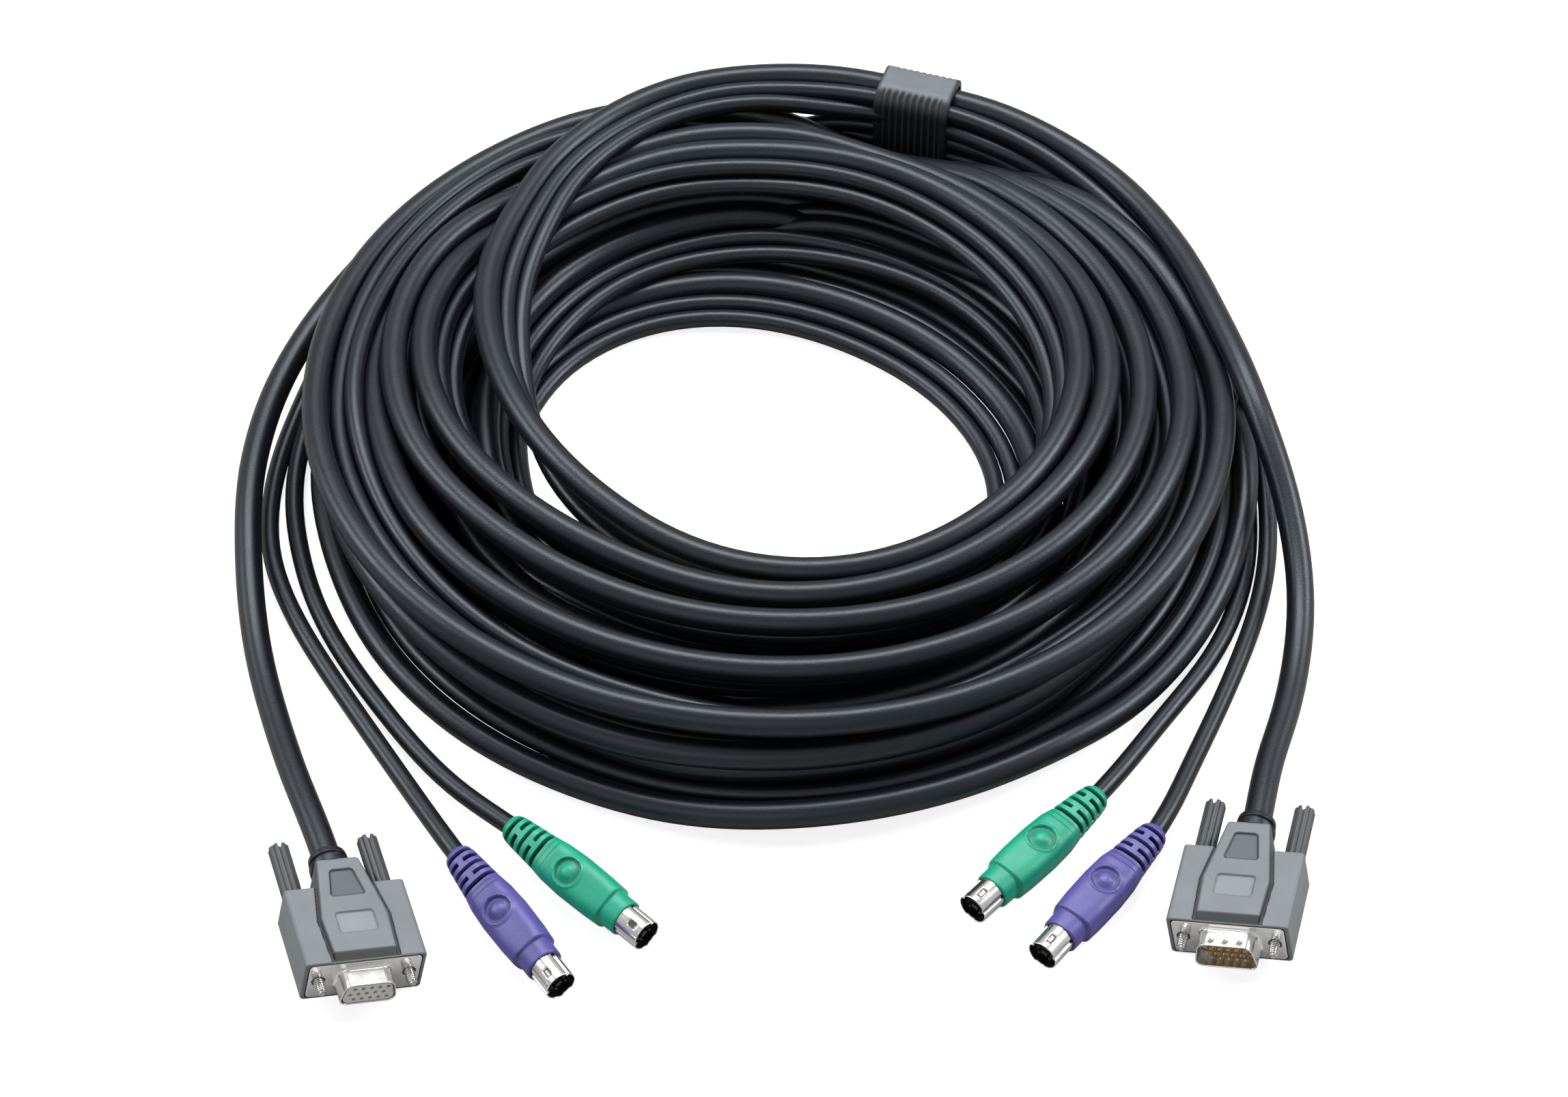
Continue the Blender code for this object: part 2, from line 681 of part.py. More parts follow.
def slot_shape(face):
    """Cuts across the tail on one face: whole and split ones by turns, like a row of H shapes."""
    shape = bmesh.new()
    reach = 2 * BODY_HALF_WIDTH
    for k in range(SLOT_COUNT):
        start = SLOT_START + k * SLOT_PITCH - SLOT_WIDTH / 2
        share = (start - SLOT_START) / (BODY_LENGTH - SLOT_START)
        height = (1 - 0.3 * max(0.0, share)) * (0.6 * BODY_HALF_HEIGHT + 0.4 * BODY_TAIL_HALF_WIDTH)
        floor = height - SLOT_DEPTH
        low, high = sorted((face * floor, face * 2 * BODY_HALF_HEIGHT))
        spans = ((-reach, reach),)
        if k % 2:
            spans = ((-reach, -SLOT_BRIDGE_HALF), (SLOT_BRIDGE_HALF, reach))
        for left, right in spans:
            add_box(shape, (left, start, low), (right, start + SLOT_WIDTH, high))
    return shape


def button_profile():
    """Radius and height of the thumb dimple: a raised ring with a low dome in it."""
    ring, dome, top = BUTTON_RING_RADIUS, BUTTON_DOME_RADIUS, BODY_HALF_HEIGHT
    return (
        (ring, top - BUTTON_RISE),
        (ring, top + BUTTON_RISE / 2),
        ((2 * ring + dome) / 3, top + BUTTON_RISE),
        (dome, top - BUTTON_RISE / 4),
        (2 * dome / 3, top + BUTTON_RISE / 2),
        (dome / 3, top + BUTTON_RISE),
    )


def make_button(name, parent):
    rings = []
    for radius, up in button_profile():
        rings.append([Vector((p[0], BUTTON_PLACE + p[1], up)) for p in circle(radius, 14)])
    return lofted(name, rings, None, parent)


def shell_outline(radius):
    """The round shell's edge, pushed in at its wide key and its two narrow ones."""
    points = []
    count = 36
    for i in range(count):
        angle = 2 * math.pi * i / count
        degrees = math.degrees(angle)
        keyed = abs(degrees - 270) < 22 or abs(degrees - 30) < 8 or abs(degrees - 150) < 8
        reach = radius - KEYWAY_DEPTH * keyed
        points.append(Vector((reach * math.cos(angle), reach * math.sin(angle))))
    return points


def round_pin_places():
    """Six contacts: two low, two at the sides and two high, round the plastic key."""
    places = []
    for half_gap, up in ROUND_PIN_PAIRS:
        places += [(-half_gap, up), (half_gap, up)]
    return places


def make_round_plug(name, grip, metal, dark, frame):
    overmould = lofted(name + "_grip", overmould_rings(), grip, frame)
    combine(overmould, make_button(name + "_button", frame), "UNION")
    bore = circle(ROUND_SHELL_RADIUS + SEAT_GAP, 24)
    socket = prism(name + "_socket", bore, -HOOD_EDGE, ROUND_SHELL_INSIDE + SEAT_GAP, None, frame)
    combine(overmould, socket, "DIFFERENCE")
    for face in (1, -1):
        slots = finished(f"{name}_slots_{face}", slot_shape(face), None, frame)
        combine(overmould, slots, "DIFFERENCE")
    shell_rings = [
        at_depth(shell_outline(ROUND_SHELL_RADIUS), -ROUND_SHELL_REACH),
        at_depth(shell_outline(ROUND_SHELL_RADIUS), ROUND_SHELL_INSIDE),
        at_depth(shell_outline(ROUND_SHELL_RADIUS - ROUND_SHELL_WALL), ROUND_SHELL_INSIDE),
        at_depth(shell_outline(ROUND_SHELL_RADIUS - ROUND_SHELL_WALL), -ROUND_SHELL_REACH),
    ]
    lofted(name + "_shell", shell_rings, metal, frame, closed=True)
    face = -ROUND_SHELL_REACH + ROUND_INSERT_RECESS + ROUND_PIN_REACH / 2
    inner = shell_outline(ROUND_SHELL_RADIUS - ROUND_SHELL_WALL - SEAT_GAP)
    block = prism(name + "_contacts", inner, face, ROUND_SHELL_INSIDE, dark, frame)
    shape = bmesh.new()
    tip = -ROUND_SHELL_REACH + ROUND_INSERT_RECESS / 2
    for place in round_pin_places():
        profile = (
            (tip, ROUND_PIN_RADIUS / 2),
            (tip + ROUND_PIN_RADIUS, ROUND_PIN_RADIUS),
            (face + ROUND_PIN_RADIUS, ROUND_PIN_RADIUS),
        )
        add_loft(shape, [at_depth(circle(radius, 8), y, place) for y, radius in profile])
    add_box(
        shape,
        (-ROUND_KEY_HALF_WIDTH, tip, -ROUND_KEY_HALF_HEIGHT),
        (ROUND_KEY_HALF_WIDTH, face + ROUND_PIN_RADIUS, ROUND_KEY_HALF_HEIGHT),
    )
    combine(block, finished(name + "_prongs", shape, None, frame), "UNION")


def stand_on_origin(root):
    """Moves everything so that the origin is the middle of the cable's own floor plan."""
    bpy.context.view_layer.update()
    graph = bpy.context.evaluated_depsgraph_get()
    low, high = Vector((9, 9, 9)), Vector((-9, -9, -9))
    for thing in bpy.context.scene.objects:
        if thing.type == "EMPTY" or thing.hide_render:
            continue
        evaluated = thing.evaluated_get(graph)
        mesh = evaluated.to_mesh()
        for vertex in mesh.vertices:
            place = evaluated.matrix_world @ vertex.co
            for k in range(3):
                low[k] = min(low[k], place[k])
                high[k] = max(high[k], place[k])
        evaluated.to_mesh_clear()
    root.location = (-(low.x + high.x) / 2, -(low.y + high.y) / 2, -low.z)


for old in list(bpy.data.objects):
    bpy.data.objects.remove(old, do_unlink=True)

jacket = material("jacket", (0.035, 0.040, 0.045), 0.45)
strap_rubber = material("strap_rubber", (0.045, 0.050, 0.056), 0.6)
hood_grey = material("hood_grey", (0.27, 0.29, 0.31), 0.5)
knob_grey = material("knob_grey", (0.08, 0.09, 0.10), 0.5)
nickel = material("nickel", (0.75, 0.74, 0.71), 0.25, 1.0)
gold = material("gold", (0.80, 0.58, 0.27), 0.3, 1.0)
ivory = material("ivory", (0.80, 0.80, 0.76), 0.5)
black_plastic = material("black_plastic", (0.03, 0.03, 0.03), 0.5)
green = material("green", (0.02, 0.52, 0.33), 0.45)
violet = material("violet", (0.16, 0.13, 0.50), 0.45)

cable = empty("cable", None)
make_coil(jacket, cable)
make_strap(strap_rubber, cable)

hood_rings = wing_rings() + panel_rings()
for end, place in (("video_socket", SOCKET_PLACE), ("video_plug", PLUG_PLACE)):
    frame = empty(end, cable)
    set_down(frame, hood_rings, place)
    make_hood(end + "_hood", hood_grey, frame)
    for hand, side in (("left", -1), ("right", 1)):
        make_thumbscrew(f"{end}_thumb_{hand}", nickel, knob_grey, frame, side)
    cord = "video_cord_left" if end == "video_socket" else "video_cord_right"
    loose_cord(cord, VIDEO_CORD_RADIUS, frame, PANEL_END + NECK_LENGTH, jacket, cable)

socket_frame, plug_frame = bpy.data.objects["video_socket"], bpy.data.objects["video_plug"]
make_shell("video_socket_shell", SOCKET_SHELL_WIDTH, SOCKET_SHELL_HEIGHT, nickel, socket_frame)
make_socket_insert("video_socket_insert", ivory, socket_frame)
make_shell("video_plug_shell", PLUG_SHELL_WIDTH, PLUG_SHELL_HEIGHT, nickel, plug_frame)
make_plug_insert("video_plug_insert", ivory, gold, plug_frame)

round_plugs = (
    ("mouse_plug_left", MOUSE_LEFT_PLACE, green, "mouse_cord_left"),
    ("keyboard_plug_left", KEYBOARD_LEFT_PLACE, violet, "keyboard_cord_left"),
    ("mouse_plug_right", MOUSE_RIGHT_PLACE, green, "mouse_cord_right"),
    ("keyboard_plug_right", KEYBOARD_RIGHT_PLACE, violet, "keyboard_cord_right"),
)
for end, place, grip, cord in round_plugs:
    frame = empty(end, cable)
    set_down(frame, overmould_rings(), place)
    make_round_plug(end, grip, nickel, black_plastic, frame)
    loose_cord(cord, THIN_CORD_RADIUS, frame, BODY_LENGTH, jacket, cable)

stand_on_origin(cable)
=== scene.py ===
import math

import bpy
import numpy as np
from mathutils import Matrix, Vector


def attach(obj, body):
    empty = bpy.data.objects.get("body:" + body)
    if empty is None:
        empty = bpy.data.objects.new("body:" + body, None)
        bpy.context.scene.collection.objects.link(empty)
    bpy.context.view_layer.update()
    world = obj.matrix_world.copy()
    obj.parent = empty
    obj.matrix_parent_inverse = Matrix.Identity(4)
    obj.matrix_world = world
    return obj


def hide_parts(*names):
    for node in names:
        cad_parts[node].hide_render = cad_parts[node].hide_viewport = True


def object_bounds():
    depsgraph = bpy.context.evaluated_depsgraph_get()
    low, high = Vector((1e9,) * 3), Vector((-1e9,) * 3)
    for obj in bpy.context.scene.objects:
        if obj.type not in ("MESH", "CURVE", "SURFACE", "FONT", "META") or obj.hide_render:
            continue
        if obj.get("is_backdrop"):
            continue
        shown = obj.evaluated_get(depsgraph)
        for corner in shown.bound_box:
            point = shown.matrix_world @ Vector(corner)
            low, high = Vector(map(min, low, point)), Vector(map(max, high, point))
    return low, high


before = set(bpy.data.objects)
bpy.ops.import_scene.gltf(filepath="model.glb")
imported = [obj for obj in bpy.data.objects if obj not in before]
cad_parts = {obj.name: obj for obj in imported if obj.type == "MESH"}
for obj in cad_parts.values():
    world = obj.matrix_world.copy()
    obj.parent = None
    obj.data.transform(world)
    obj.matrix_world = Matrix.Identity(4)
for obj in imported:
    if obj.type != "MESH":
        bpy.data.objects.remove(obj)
cad_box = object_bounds()


def placed(name, data):
    """A new object with this data, in the scene."""
    made = bpy.data.objects.new(name, data)
    bpy.context.scene.collection.objects.link(made)
    return made


# The camera stands in front of the cable and looks down at it, as the photographer did
# over a white table: a long lens, so the coil's back is only a little smaller.
camera = bpy.data.cameras.new("camera")
camera.sensor_width = 36.0
camera.lens = 94.08
camera.clip_end = 20.0
viewer = placed("camera", camera)
viewer.location = (0.0044542, -0.8271435, 0.886)
viewer.rotation_euler = (math.radians(43), 0, 0)
bpy.context.scene.camera = viewer


# The three cords: round cables with a matt black vinyl jacket, moulded side by side into
# one ribbon and wound 13.6 times into a loose heap. The thick one carries the picture, the
# two thin ones mouse and keyboard, and each runs from one plug to the other.
THICK, THIN = 0.0040, 0.00275
RADII = np.array([THICK, THIN, THIN])
CORDS = ("video_cord", "keyboard_cord", "mouse_cord")
COIL_CENTRE = np.array([0.0031542, 0.0308565, 0.0])
COIL_TOP = 0.0384
SLICES = 96
TURNS = 13
LAST = 61 + SLICES * TURNS
START_DEGREES = 187.5
STRAP_ANGLE = math.radians(71.7)
HOOD_NECK, ROUND_NECK, SEAT_GAP = 0.0426, 0.0460, 0.0003
# Near which angle (radians) the loose stretches of each side begin.
BEGINS = {"left": 3.0, "right": -0.3}

# Each loose stretch from the coil to its plug, about the coil's own middle.
LOOSE = {
    "video_cord_left": (
        (-0.1258, 0.0738, 0.0200), (-0.1408, 0.0500, 0.0170), (-0.1523, 0.0200, 0.0145),
        (-0.1568, -0.0120, 0.0130), (-0.1563, -0.0300, 0.0112), (-0.1540, -0.0540, 0.0080),
        (-0.1495, -0.0790, 0.0055), (-0.1420, -0.1050, 0.0062), (-0.1345, -0.1280, 0.0084),
    ),
    "keyboard_cord_left": (
        (-0.1428, 0.0315, 0.0060), (-0.1494, 0.0080, 0.0035), (-0.1517, -0.0130, 0.0029),
        (-0.1500, -0.0375, 0.0029), (-0.1398, -0.0640, 0.0029), (-0.1255, -0.0895, 0.0029),
        (-0.1095, -0.1163, 0.0030), (-0.0985, -0.1352, 0.0042),
    ),
    "mouse_cord_left": (
        (-0.1451, -0.0180, 0.0029), (-0.1381, -0.0485, 0.0029), (-0.1279, -0.0725, 0.0029),
        (-0.1128, -0.0970, 0.0029), (-0.0983, -0.1178, 0.0030), (-0.0862, -0.1318, 0.0042),
    ),
    "video_cord_right": (
        (0.1391, 0.0010, 0.0330), (0.1431, -0.0110, 0.0280), (0.1478, -0.0270, 0.0212),
        (0.1503, -0.0430, 0.0152), (0.1511, -0.0610, 0.0098), (0.1483, -0.0810, 0.0064),
        (0.1440, -0.0990, 0.0068), (0.1396, -0.1160, 0.0082),
    ),
    "mouse_cord_right": (
        (0.1098, -0.0984, 0.0029), (0.1052, -0.1062, 0.0031), (0.1003, -0.1133, 0.0037),
    ),
    "keyboard_cord_right": (
        (0.1446, -0.0200, 0.0060), (0.1441, -0.0361, 0.0040), (0.1394, -0.0580, 0.0029),
        (0.1312, -0.0810, 0.0029), (0.1213, -0.1050, 0.0029), (0.1133, -0.1230, 0.0038),
    ),
}
# Each plug's own frame: its place, and its turn and lean.
PLUGS = {
    "video_socket": ((-0.1074458, -0.1663435, 0.0102865), (0, 0.2181661, 0.3106687)),
    "video_plug": ((0.1239542, -0.1539435, 0.0099271), (0, -0.1919863, -0.2565634)),
    "mouse_plug_left": ((-0.0382458, -0.1441435, 0.0064107), (0, -0.4886923, 0.7888887)),
    "keyboard_plug_left": ((-0.0595458, -0.1600435, 0.0064107), (0, -0.4886923, 0.5916666)),
    "mouse_plug_right": ((0.0609542, -0.1341435, 0.005556), (0, 0.1047199, -0.7347836)),
    "keyboard_plug_right": ((0.0787542, -0.1495435, 0.005556), (0, 0.1047199, -0.6614797)),
}
ENDS = {
    "video_cord": ("video_socket", "video_plug", HOOD_NECK),
    "keyboard_cord": ("keyboard_plug_left", "keyboard_plug_right", ROUND_NECK),
    "mouse_cord": ("mouse_plug_left", "mouse_plug_right", ROUND_NECK),
}
# How the thin cords climb into the heap on the left and come down on the right: degrees
# round the coil, radius, height (mm).
CLIMB = {
    (1, "left"): ((167.6, 146.2, 6), (158, 145.3, 10.5), (150, 143.8, 14)),
    (2, "left"): ((187.5, 146.2, 2.9), (178, 144.8, 4), (168, 142.3, 6.5), (159, 140.2, 9.5)),
    (1, "right"): ((16, 138, 25.5), (8, 141, 18), (1, 143.8, 11), (-8, 146.1, 6)),
    (2, "right"): ((16, 134.8, 20), (8, 137.5, 12.5), (0, 139, 6.5), (-8, 140.7, 3),
                   (-15, 142.9, 2.8), (-23, 145.1, 2.8), (-33, 146.9, 2.8), (-42, 147.3, 2.9)),
}
# The heap's lower turns: turn, share of the way out across the heap, height, tilt.
LOWER = np.array((
    (0.0, 1.0, 20, 60), (0.12, 1.0, 21, 50), (0.27, 1.0, 21.5, -30), (0.5, 1.0, 10, -10),
    (0.7, 1.0, 5, 0), (1.1, 1.0, 4.6, 0), (1.32, 1.0, 8, -45), (1.5, 0.85, 5, -5),
    (1.77, 0.66, 4.6, 0), (2.27, 0.35, 4.6, 0), (2.77, 0.20, 4.6, 0),
    (3.05, 0.0, 4.6, 0), (3.55, -0.03, 4.6, 5), (3.8, -0.02, 8.5, 10), (4.05, 0.0, 13, 10),
    (4.27, 0.09, 13, 10), (4.77, 0.12, 13, 10), (5.27, 0.42, 12.5, 10), (5.77, 0.5, 12.5, 5),
    (6.27, 0.70, 12, 0), (6.77, 0.85, 12.5, 5), (7.32, 0.84, 11, 10), (7.8, 1.0, 18, 50),
    (8.4, 0.9, 23, 60), (8.6, 0.9, 24, 60),
))
# The upper turns as they show: pass, degrees round the coil, radius, height (mm), tilt.
UPPER = np.array((
    (8, -91, 122, 24, 65), (8, -130, 124, 26, 50), (8, -165, 128, 30, 15),
    (9, 178, 130, 31, 0), (9, 160, 132.5, 32, 0), (9, 140, 135, 33, 0),
    (9, 120, 134.5, 32, 0), (9, 108, 129, 30, 10), (9, 95, 123, 28, 25),
    (9, 60, 118, 26, 50), (9, 30, 119, 26, 60), (9, 0, 117, 26, 60),
    (9, -30, 112, 26, 65), (9, -60, 107, 26, 70), (9, -91, 105, 26, 75),
    (9, -125, 107, 26, 75), (9, -155, 114, 26, 75), (10, 180, 121, 24, 75),
    (10, 150, 123, 24, 70), (10, 120, 120, 25, 55), (10, 90, 115, 27, 45),
    (10, 60, 110, 27, 50), (10, 30, 108, 27, 60), (10, 0, 106, 27, 65),
    (10, -30, 99, 27, 70), (10, -60, 93, 27, 75), (10, -91, 89, 27, 80),
    (10, -125, 90, 27, 75), (10, -150, 95, 28, 65), (10, -177, 111, 29, 50),
    (11, 169, 116, 29, 45), (11, 146, 121, 30, 35), (11, 131, 120, 30, 30),
    (11, 97, 111, 31, 20), (11, 66, 101, 31, 30), (11, 42, 98, 30, 40),
    (11, 9, 97, 29, 60), (11, -22, 88, 28, 70), (11, -38, 83, 28, 75),
    (11, -91, 80, 27.5, 80), (11, -128, 77, 27.5, 80), (11, -156, 86, 28, 70),
    (11, -174, 97, 29, 60), (12, 172, 105, 30, 50), (12, 159, 110, 31, 40),
    (12, 136, 113, 33, 15), (12, 97, 106, 34, 5), (12, 74, 99, 34, 10),
    (12, 56, 94, 34, 20), (12, 39, 91, 33, 30), (12, 20, 88, 32, 45),
    (12, 2, 86, 30, 60), (12, -10, 82, 29, 70), (12, -32, 78, 28, 80),
    (12, -60, 75.5, 27.5, 85), (12, -91, 71.5, 27.5, 88), (12, -137, 64.5, 27.5, 88),
    (12, -165, 69.5, 29, 70), (13, 172, 78, 31, 50), (13, 159, 88, 33, 25),
    (13, 148, 98, 35, 10), (13, 137, 107, 35.5, 5), (13, 124, 119, 35.5, 0),
    (13, 111, 129, 35.5, 0), (13, 101, 133, 34.5, 10), (13, 90, 136, 33, 25),
    (13, 72, 137, 33, 10), (13, 62, 136, 32, 30), (13, 43, 133.5, 28, 35),
    (13, 25, 135, 25.5, 60), (13, 12, 138, 24, 70),
))
# The heap's inner edge on the table and at its top, by degrees round the coil (mm).
INNER_LOW = np.array((
    (-180, 76), (-120, 82), (-90, 80), (-60, 76), (-30, 70), (0, 60), (15, 54), (30, 50),
    (45, 48), (60, 47), (75, 49), (90, 53.5), (105, 59.5), (120, 66.5), (150, 75), (180, 76),
))
INNER_TOP = np.array((
    (-180, 72), (-165, 67.5), (-150, 63.5), (-135, 61), (-120, 61.5), (-105, 64.5),
    (-90, 66), (-75, 68), (-60, 70), (-45, 71), (-30, 72), (0, 82), (30, 88), (60, 94),
    (90, 98), (120, 94), (150, 82), (180, 72),
))
# How far out the ribbon may reach, turn by turn (mm).
OUTER_EDGE = np.array((
    (0.0, 150), (0.14, 150), (0.2, 143.4), (8.95, 143.4), (9.05, 146), (9.18, 146),
    (9.26, 143.4), (12.9, 143.4), (13.1, 145.5), (13.35, 152),
    (13.6, 152),
))
# Right of the strap the thick cord leaves the ribbon and bows out on its own: degrees,
# radius, height (mm).
BOW = np.array((
    (0, 139.1, 33), (8, 136.5, 33), (15, 134.8, 33), (30, 138, 32), (45, 142.8, 31),
    (57, 144.6, 32), (64.6, 142.6, 33.3),
))
# How the three turns that go through the strap are stacked in it: radius, height (mm).
STACK = {
    1: ((141.5, 6.0), (134.7, 4.9), (134.7, 10.6)),
    0: ((141.5, 15.0), (134.7, 17.2), (134.7, 23.2)),
    13: ((141.4, 33.6), (134.6, 34.9), (134.6, 29.2)),
}
# The settling: where the cords lie across the ribbon (mm), which are bonded, how far apart
# (mm) and how stiffly, and how much each step evens, pulls and sinks them; the second
# numbers are what the evening and the pull lose by the last step.
ACROSS = np.array([6.9, -0.2, -6.1])
BONDS = ((0, 1, 7.0, 0.5), (1, 2, 5.75, 0.5), (0, 2, 11.3, 0.25))
STEPS, EVENING, PULL, SINK = 600, (0.45, 0.33), (0.03, 0.024), 0.02
# How many slices the loose cords may hold at each end of the ribbon.
JOINING = 20
# How far out the strap is, how near it turns are stacked, and over what length the others
# leave its room (mm).
STRAP_OUT, STRAP_NEAR, STRAP_REACH = 140, 16, 50
# The last turn may stand above the coil's top. The outer slope falls one for one outwards,
# from this height at this radius (mm).
LAST_TURN, LAST_TOP = 12.5, 39.4
SLOPE_TOP, SLOPE_OUT = 38, 108


def plug_matrix(name):
    place, angles = PLUGS[name]
    turning = Matrix.Rotation(angles[2], 4, "Z") @ Matrix.Rotation(angles[1], 4, "Y")
    return Matrix.Translation(place) @ turning


def smooth_line(points, spacing):
    """A Catmull-Rom curve through the points: the weighted mean of four neighbours, whose
    weights are cubics of the share between the middle two, resampled at equal steps."""
    p = np.array(points, float)
    p = np.vstack([2 * p[0] - p[1], p, 2 * p[-1] - p[-2]])
    t = np.linspace(0, 1, 12, endpoint=False)[None, :, None]
    a, b, c, d = (p[i : len(p) - 3 + i, None] for i in range(4))
    fine = 0.5 * (2 * b + (c - a) * t + (2 * a - 5 * b + 4 * c - d) * t**2
                  + (3 * b - a - 3 * c + d) * t**3)
    fine = np.vstack([fine.reshape(-1, 3), p[-2:-1]])
    along = np.append(0, np.cumsum(np.linalg.norm(np.diff(fine, axis=0), axis=1)))
    count = max(4, round(along[-1] / spacing))
    places = np.linspace(0, along[-1], count + 1)
    return np.stack([np.interp(places, along, fine[:, k]) for k in range(3)], 1)


def around(points, first):
    """Angle about the coil's middle, radius and height of each point, in radians and mm;
    the angles run on from the one that is nearest to first."""
    angle = np.unwrap(np.arctan2(points[:, 1], points[:, 0]))
    angle += 2 * math.pi * round((first - angle[0]) / (2 * math.pi))
    return angle, 1000 * np.hypot(points[:, 0], points[:, 1]), 1000 * points[:, 2]


def risen(height):
    """How far up the heap's inner wall each height lies, from 0 to 1."""
    return np.clip((height - 4) / 30, 0, 1) ** 0.6


def wound_ribbon():
    """The ribbon's place in each of 96 slices of each turn, as radius and height (mm).
    Every step pulls it towards its planned place, evens it along its length, keeps its
    three cords side by side, and moves apart what overlaps in the same slice, though not
    everywhere far enough: some cords still cut into others inside the heap."""
    index = np.arange(LAST + 1)
    turn = index / SLICES
    angle = math.radians(START_DEGREES) - 2 * math.pi * turn
    degrees = (np.degrees(angle) + 180) % 360 - 180
    low = np.interp(degrees, INNER_LOW[:, 0], INNER_LOW[:, 1])[:, None]
    top = np.interp(degrees, INNER_TOP[:, 0], INNER_TOP[:, 1])[:, None]
    share, height, tilt = (np.interp(turn, LOWER[:, 0], LOWER[:, k]) for k in (1, 2, 3))
    inner = low[:, 0] + (top - low)[:, 0] * risen(height) + 10
    outer = 133.5 - (8.5 - 8.5 * np.sin(angle)) * height / 34
    radius = inner + share * (outer - inner)
    loose = 0.3 + 0.7 * np.clip(2 * share, 0, 1)
    radius += loose * (3.0 * np.sin(4.461 * turn + 1.0) + 2.4 * np.sin(8.608 * turn + 2.1))
    height = height + 1.2 * np.sin(3.958 * turn + 0.3) + 0.8 * np.sin(11.94 * turn)
    tilt = tilt + 20 * np.sin(3.581 * turn + 0.9) + 17 * np.sin(7.603 * turn + 2.0)
    shown = UPPER[:, 0] + (START_DEGREES - UPPER[:, 1]) / 360
    mix = np.clip((turn - shown[0] + 0.15) / 0.3, 0, 1)
    mix = mix * mix * (3 - 2 * mix)
    radius += mix * (np.interp(turn, shown, UPPER[:, 2]) - radius)
    height += mix * (np.interp(turn, shown, UPPER[:, 3]) - height)
    tilt = np.radians(tilt + mix * (np.interp(turn, shown, UPPER[:, 4]) - tilt))
    flat = np.stack([np.cos(tilt), np.sin(tilt)], 1)
    planned = np.stack([radius, height], 1)[:, None]
    planned = planned + flat[:, None] * ACROSS[None, :, None]
    place = planned.copy()

    held = np.zeros((LAST + 1, 3), bool)
    fixed = np.zeros((LAST + 1, 3, 2))
    for c, name in enumerate(CORDS):
        for side, end in (("left", index < JOINING), ("right", index > LAST - JOINING)):
            route, out, up = around(smooth_line(LOOSE[f"{name}_{side}"], 0.002), BEGINS[side])
            seen = angle + (0 if side == "left" else 2 * math.pi * TURNS)
            start = np.sign(route[-1] - route[0])
            near = end & ((seen - route[0]) * start >= -1e-6)
            order = np.argsort(route)
            fixed[near, c, 0] = np.interp(seen[near], route[order], out[order])
            fixed[near, c, 1] = np.interp(seen[near], route[order], up[order])
            held[near, c] = True
            if (c, side) not in CLIMB:
                continue
            climb = np.array(CLIMB[c, side])[::-1]
            seen = np.degrees(seen)
            near = ~held[:, c] & (seen >= climb[0, 0]) & (seen <= climb[-1, 0])
            near &= end
            for k in (0, 1):
                fixed[near, c, k] = np.interp(seen[near], climb[:, 0], climb[:, k + 1])
            held[near, c] = True
    seen = np.degrees(angle + 2 * math.pi * TURNS)
    bowed = (index > LAST - 24) & (seen < 64.6) & ~held[:, 0]
    for k in (0, 1):
        fixed[bowed, 0, k] = np.interp(seen[bowed], BOW[:, 0], BOW[:, k + 1])
    held[bowed, 0] = True
    crossing = np.round(turn + (STRAP_ANGLE - math.radians(START_DEGREES)) / (2 * math.pi))
    from_strap = np.angle(np.exp(1j * (angle - STRAP_ANGLE)))
    at_strap = np.abs(from_strap) * STRAP_OUT < STRAP_NEAR
    for number, spots in STACK.items():
        here = at_strap & (crossing == number)
        fixed[here] = spots
        held[here] = True
    away = (1 - np.exp(-((from_strap * STRAP_OUT / STRAP_REACH) ** 2))) * 30
    away = np.where(np.isin(crossing, list(STACK)), 999, away)[:, None]
    place = np.where(held[..., None], fixed, place)

    radii = 1000 * RADII
    together = np.clip((index - 12) / 10, 0, 1) * np.clip((LAST - 14 - index) / 10, 0, 1)
    together[at_strap & np.isin(crossing, list(STACK))] = 0
    to_thick = np.where(index > LAST - 28, 0, together)
    passes = TURNS + 1
    spare = passes * SLICES - LAST - 1
    parked = 1e4 + 1e3 * np.arange(spare * 3).reshape(spare, 3)
    parked = np.stack([parked, parked], -1)
    size = np.tile(radii, passes)
    clear = size[:, None] + size[None, :] + 0.15
    np.fill_diagonal(clear, 0)
    outside = np.interp(turn, *OUTER_EDGE.T)
    ceiling = np.where(turn > LAST_TURN, LAST_TOP, 1000 * COIL_TOP)[:, None]
    outside = np.minimum(outside[:, None], 129.4 + away)
    for step in range(STEPS):
        late = step / STEPS
        middle = 0.5 * (place[:-2] + place[2:]) - place[1:-1]
        place[1:-1] += (EVENING[0] - EVENING[1] * late) * middle
        pull = (PULL[0] - PULL[1] * late) * together[:, None, None]
        place += pull * (planned - place)
        place[..., 1] -= SINK * (late < 0.9)
        for _ in range(2):
            for a, b, apart, stiff in BONDS:
                gap = place[:, b] - place[:, a]
                long = np.linalg.norm(gap, axis=1) + 1e-9
                off = long - apart if b - a == 1 else np.minimum(long - apart, 0)
                bond = together if a else to_thick
                shift = (off / long * stiff * bond)[:, None] * gap
                place[:, a] += shift
                place[:, b] -= shift
        for _ in range(2 if late < 0.85 else 3):
            place = np.where(held[..., None], fixed, place)
            grid = np.concatenate([place, parked]).reshape(passes, SLICES, 3, 2)
            grid = grid.transpose(1, 0, 2, 3).reshape(SLICES, 3 * passes, 2)
            gap = grid[:, :, None] - grid[:, None, :]
            long = np.sqrt((gap**2).sum(-1)) + 1e-9
            over = np.maximum(clear[None] - long, 0)
            shift = ((over / long)[..., None] * gap).sum(2)
            shift *= (0.5 / np.sqrt(np.maximum((over > 0).sum(2), 1)))[..., None]
